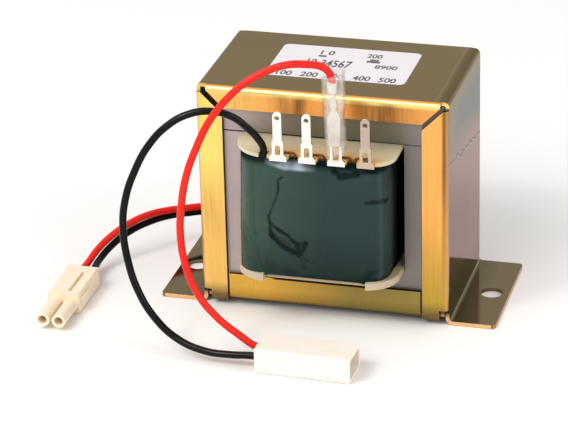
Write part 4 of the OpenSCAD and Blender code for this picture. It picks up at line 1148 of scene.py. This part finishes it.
class TRANSFORMER_OT_sleeve(bpy.types.Operator):
    """Turns the clear sleeve as a thin tube with a waist and a slanting rim"""
    bl_idname = "transformer.sleeve"
    bl_label = "Slip on the sleeve"

    def execute(self, context):
        wall = context.scene.transformer_sizes.sleeve_wall
        low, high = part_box("clear_sleeve")
        centre = (low + high) / 2
        outer = (high.x - low.x) / 2
        steps, turns = 40, 64
        heights = [low.z + (high.z - low.z) * step / steps for step in range(steps + 1)]
        profile = [(outer, z) for z in heights] + [(outer - wall, z) for z in reversed(heights)]
        shape = bmesh.new()
        verts = [shape.verts.new((centre.x + r, centre.y, z)) for r, z in profile]
        edges = [shape.edges.new(pair) for pair in zip(verts, verts[1:] + verts[:1])]
        bmesh.ops.spin(shape, geom=verts + edges, cent=(centre.x, centre.y, 0), axis=(0, 0, 1),
                       angle=2 * math.pi, steps=turns, use_merge=True)
        bmesh.ops.recalc_face_normals(shape, faces=shape.faces)
        for vert in shape.verts:
            self.draw_in(vert, centre, outer, low.z, high.z)
        lean_terminal(shape.verts, SOFT_LEAN * context.scene.transformer_sizes.terminal_lean)
        mesh = mesh_of(shape, "sleeve_tube")
        mesh.shade_smooth()
        mesh.set_sharp_from_angle(angle=math.radians(60))
        vinyl = clear_vinyl(context.scene.transformer_finish)
        add_piece("sleeve_tube", mesh, vinyl, "clear_vinyl", "clear_sleeve")
        return {"FINISHED"}

    def draw_in(self, vert, centre, outer, bottom, top):
        """Narrows the tube downwards, draws it in at the waist, more on the right, and slants its rim."""
        share = (vert.co.z - bottom) / (top - bottom)
        across = (vert.co.x - centre.x) / outer
        waist_middle, waist_half = 0.47, 0.09
        waist = math.exp(-((share - waist_middle) / waist_half) ** 2)
        shrink = 1 - 0.1 * (1 - share) - waist * (0.06 + 0.09 * across)
        vert.co.x = centre.x + (vert.co.x - centre.x) * shrink
        vert.co.y = centre.y + (vert.co.y - centre.y) * shrink
        near_rim = ramp(share, 0.8, 1)
        vert.co.z += (1.5 * across + 0.4) * near_rim * MM


class TRANSFORMER_OT_label(bpy.types.Operator):
    """Gives the label white paper and prints plain numbers and bars on it"""
    bl_idname = "transformer.label"
    bl_label = "Print the label"

    def execute(self, context):
        finish = context.scene.transformer_finish
        finish_node("top_label", coated_paper(finish))
        ink = printed_ink(finish)
        small = context.scene.transformer_sizes.digit_height
        self.print_text("label_row_back_left", "1 0", (-6.3, 9), small, 0.9, ink)
        self.print_text("label_row_back_right", "200", (9, 9), small, 0.72, ink)
        self.print_bar("label_mark_left", (-7, 6), (2.6, 1.3), ink)
        self.print_bar("label_mark_right", (9.6, 5.7), (2.8, 1.1), ink)
        self.print_bar("label_mark_right_foot", (9.6, 4.2), (4.2, 1.5), ink)
        self.print_text("label_row_middle", "12 34567", (-4, 0.6), 1.7 * small, 0.52, ink)
        self.print_text("label_row_middle_right", "8900", (14.5, 0.6), 0.9 * small, 0.9, ink)
        for number, x in enumerate((-15.5, -7.3, 0.7, 9.2, 17.2), start=1):
            name = "label_number_" + str(number)
            self.print_text(name, str(100 * number), (x, -9.4), 1.1 * small, 0.75, ink)
        return {"FINISHED"}

    def print_text(self, name, text, centre, height, narrow, ink):
        """Plain bold numbers as a flat mesh on the label, centred on a place in millimetres."""
        digit_share = 0.72
        raised = 0.01 * MM
        curve = bpy.data.curves.new(name, "FONT")
        curve.body = text
        curve.size = height / digit_share
        curve.align_x = "CENTER"
        curve.offset = 0.03 * height
        curve.extrude = raised
        writing = bpy.data.objects.new(name + "_curve", curve)
        mesh = bpy.data.meshes.new_from_object(writing)
        bpy.data.objects.remove(writing)
        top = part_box("top_label")[1].z + raised
        place = Matrix.Translation((centre[0] * MM, centre[1] * MM - height / 2, top))
        mesh.transform(place @ Matrix.Diagonal((narrow, 1, 1, 1)))
        add_piece(name, mesh, ink, "label_paper")

    def print_bar(self, name, centre, size, ink):
        """Printed bar as a thin plate on the label, in millimetres."""
        thickness = 0.04
        shape = bmesh.new()
        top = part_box("top_label")[1].z / MM
        plate = Matrix.Diagonal((*size, thickness, 1))
        matrix = Matrix.Scale(MM, 4) @ Matrix.Translation((*centre, top)) @ plate
        bmesh.ops.create_cube(shape, size=1, matrix=matrix)
        add_piece(name, mesh_of(shape, name), ink, "label_paper")


class TRANSFORMER_PT_panel(bpy.types.Panel):
    """Lists the steps that dress the transformer"""
    bl_label = "Speaker line transformer"
    bl_idname = "TRANSFORMER_PT_panel"
    bl_space_type = "VIEW_3D"
    bl_region_type = "UI"
    bl_category = "Transformer"

    def draw(self, context):
        for step in STEPS:
            self.layout.operator(step.bl_idname)
        for group in (context.scene.transformer_finish, context.scene.transformer_sizes,
                      context.scene.transformer_stage):
            for name in group.__annotations__:
                self.layout.prop(group, name)


STEPS = (
    TRANSFORMER_OT_stage,
    TRANSFORMER_OT_connectors,
    TRANSFORMER_OT_leads,
    TRANSFORMER_OT_sheet_metal,
    TRANSFORMER_OT_core,
    TRANSFORMER_OT_bobbin,
    TRANSFORMER_OT_windings,
    TRANSFORMER_OT_tape,
    TRANSFORMER_OT_lugs,
    TRANSFORMER_OT_terminal,
    TRANSFORMER_OT_sleeve,
    TRANSFORMER_OT_label,
)
CLASSES = (FinishColours, PieceSizes, StageSizes, *STEPS, TRANSFORMER_PT_panel)


def register():
    """Registers the classes and hangs the settings on the scene."""
    for cls in CLASSES:
        bpy.utils.register_class(cls)
    bpy.types.Scene.transformer_finish = bpy.props.PointerProperty(type=FinishColours)
    bpy.types.Scene.transformer_sizes = bpy.props.PointerProperty(type=PieceSizes)
    bpy.types.Scene.transformer_stage = bpy.props.PointerProperty(type=StageSizes)


def unregister():
    """Takes the settings off the scene and the classes out again."""
    del bpy.types.Scene.transformer_stage
    del bpy.types.Scene.transformer_sizes
    del bpy.types.Scene.transformer_finish
    for cls in reversed(CLASSES):
        bpy.utils.unregister_class(cls)


def main():
    """Dresses the object step by step."""
    register()
    bpy.ops.transformer.stage()
    bpy.ops.transformer.connectors()
    bpy.ops.transformer.leads()
    bpy.ops.transformer.sheet_metal()
    bpy.ops.transformer.core()
    bpy.ops.transformer.bobbin()
    bpy.ops.transformer.windings()
    bpy.ops.transformer.tape()
    bpy.ops.transformer.lugs()
    bpy.ops.transformer.terminal()
    bpy.ops.transformer.sleeve()
    bpy.ops.transformer.label()


if __name__ == "__main__":
    main()
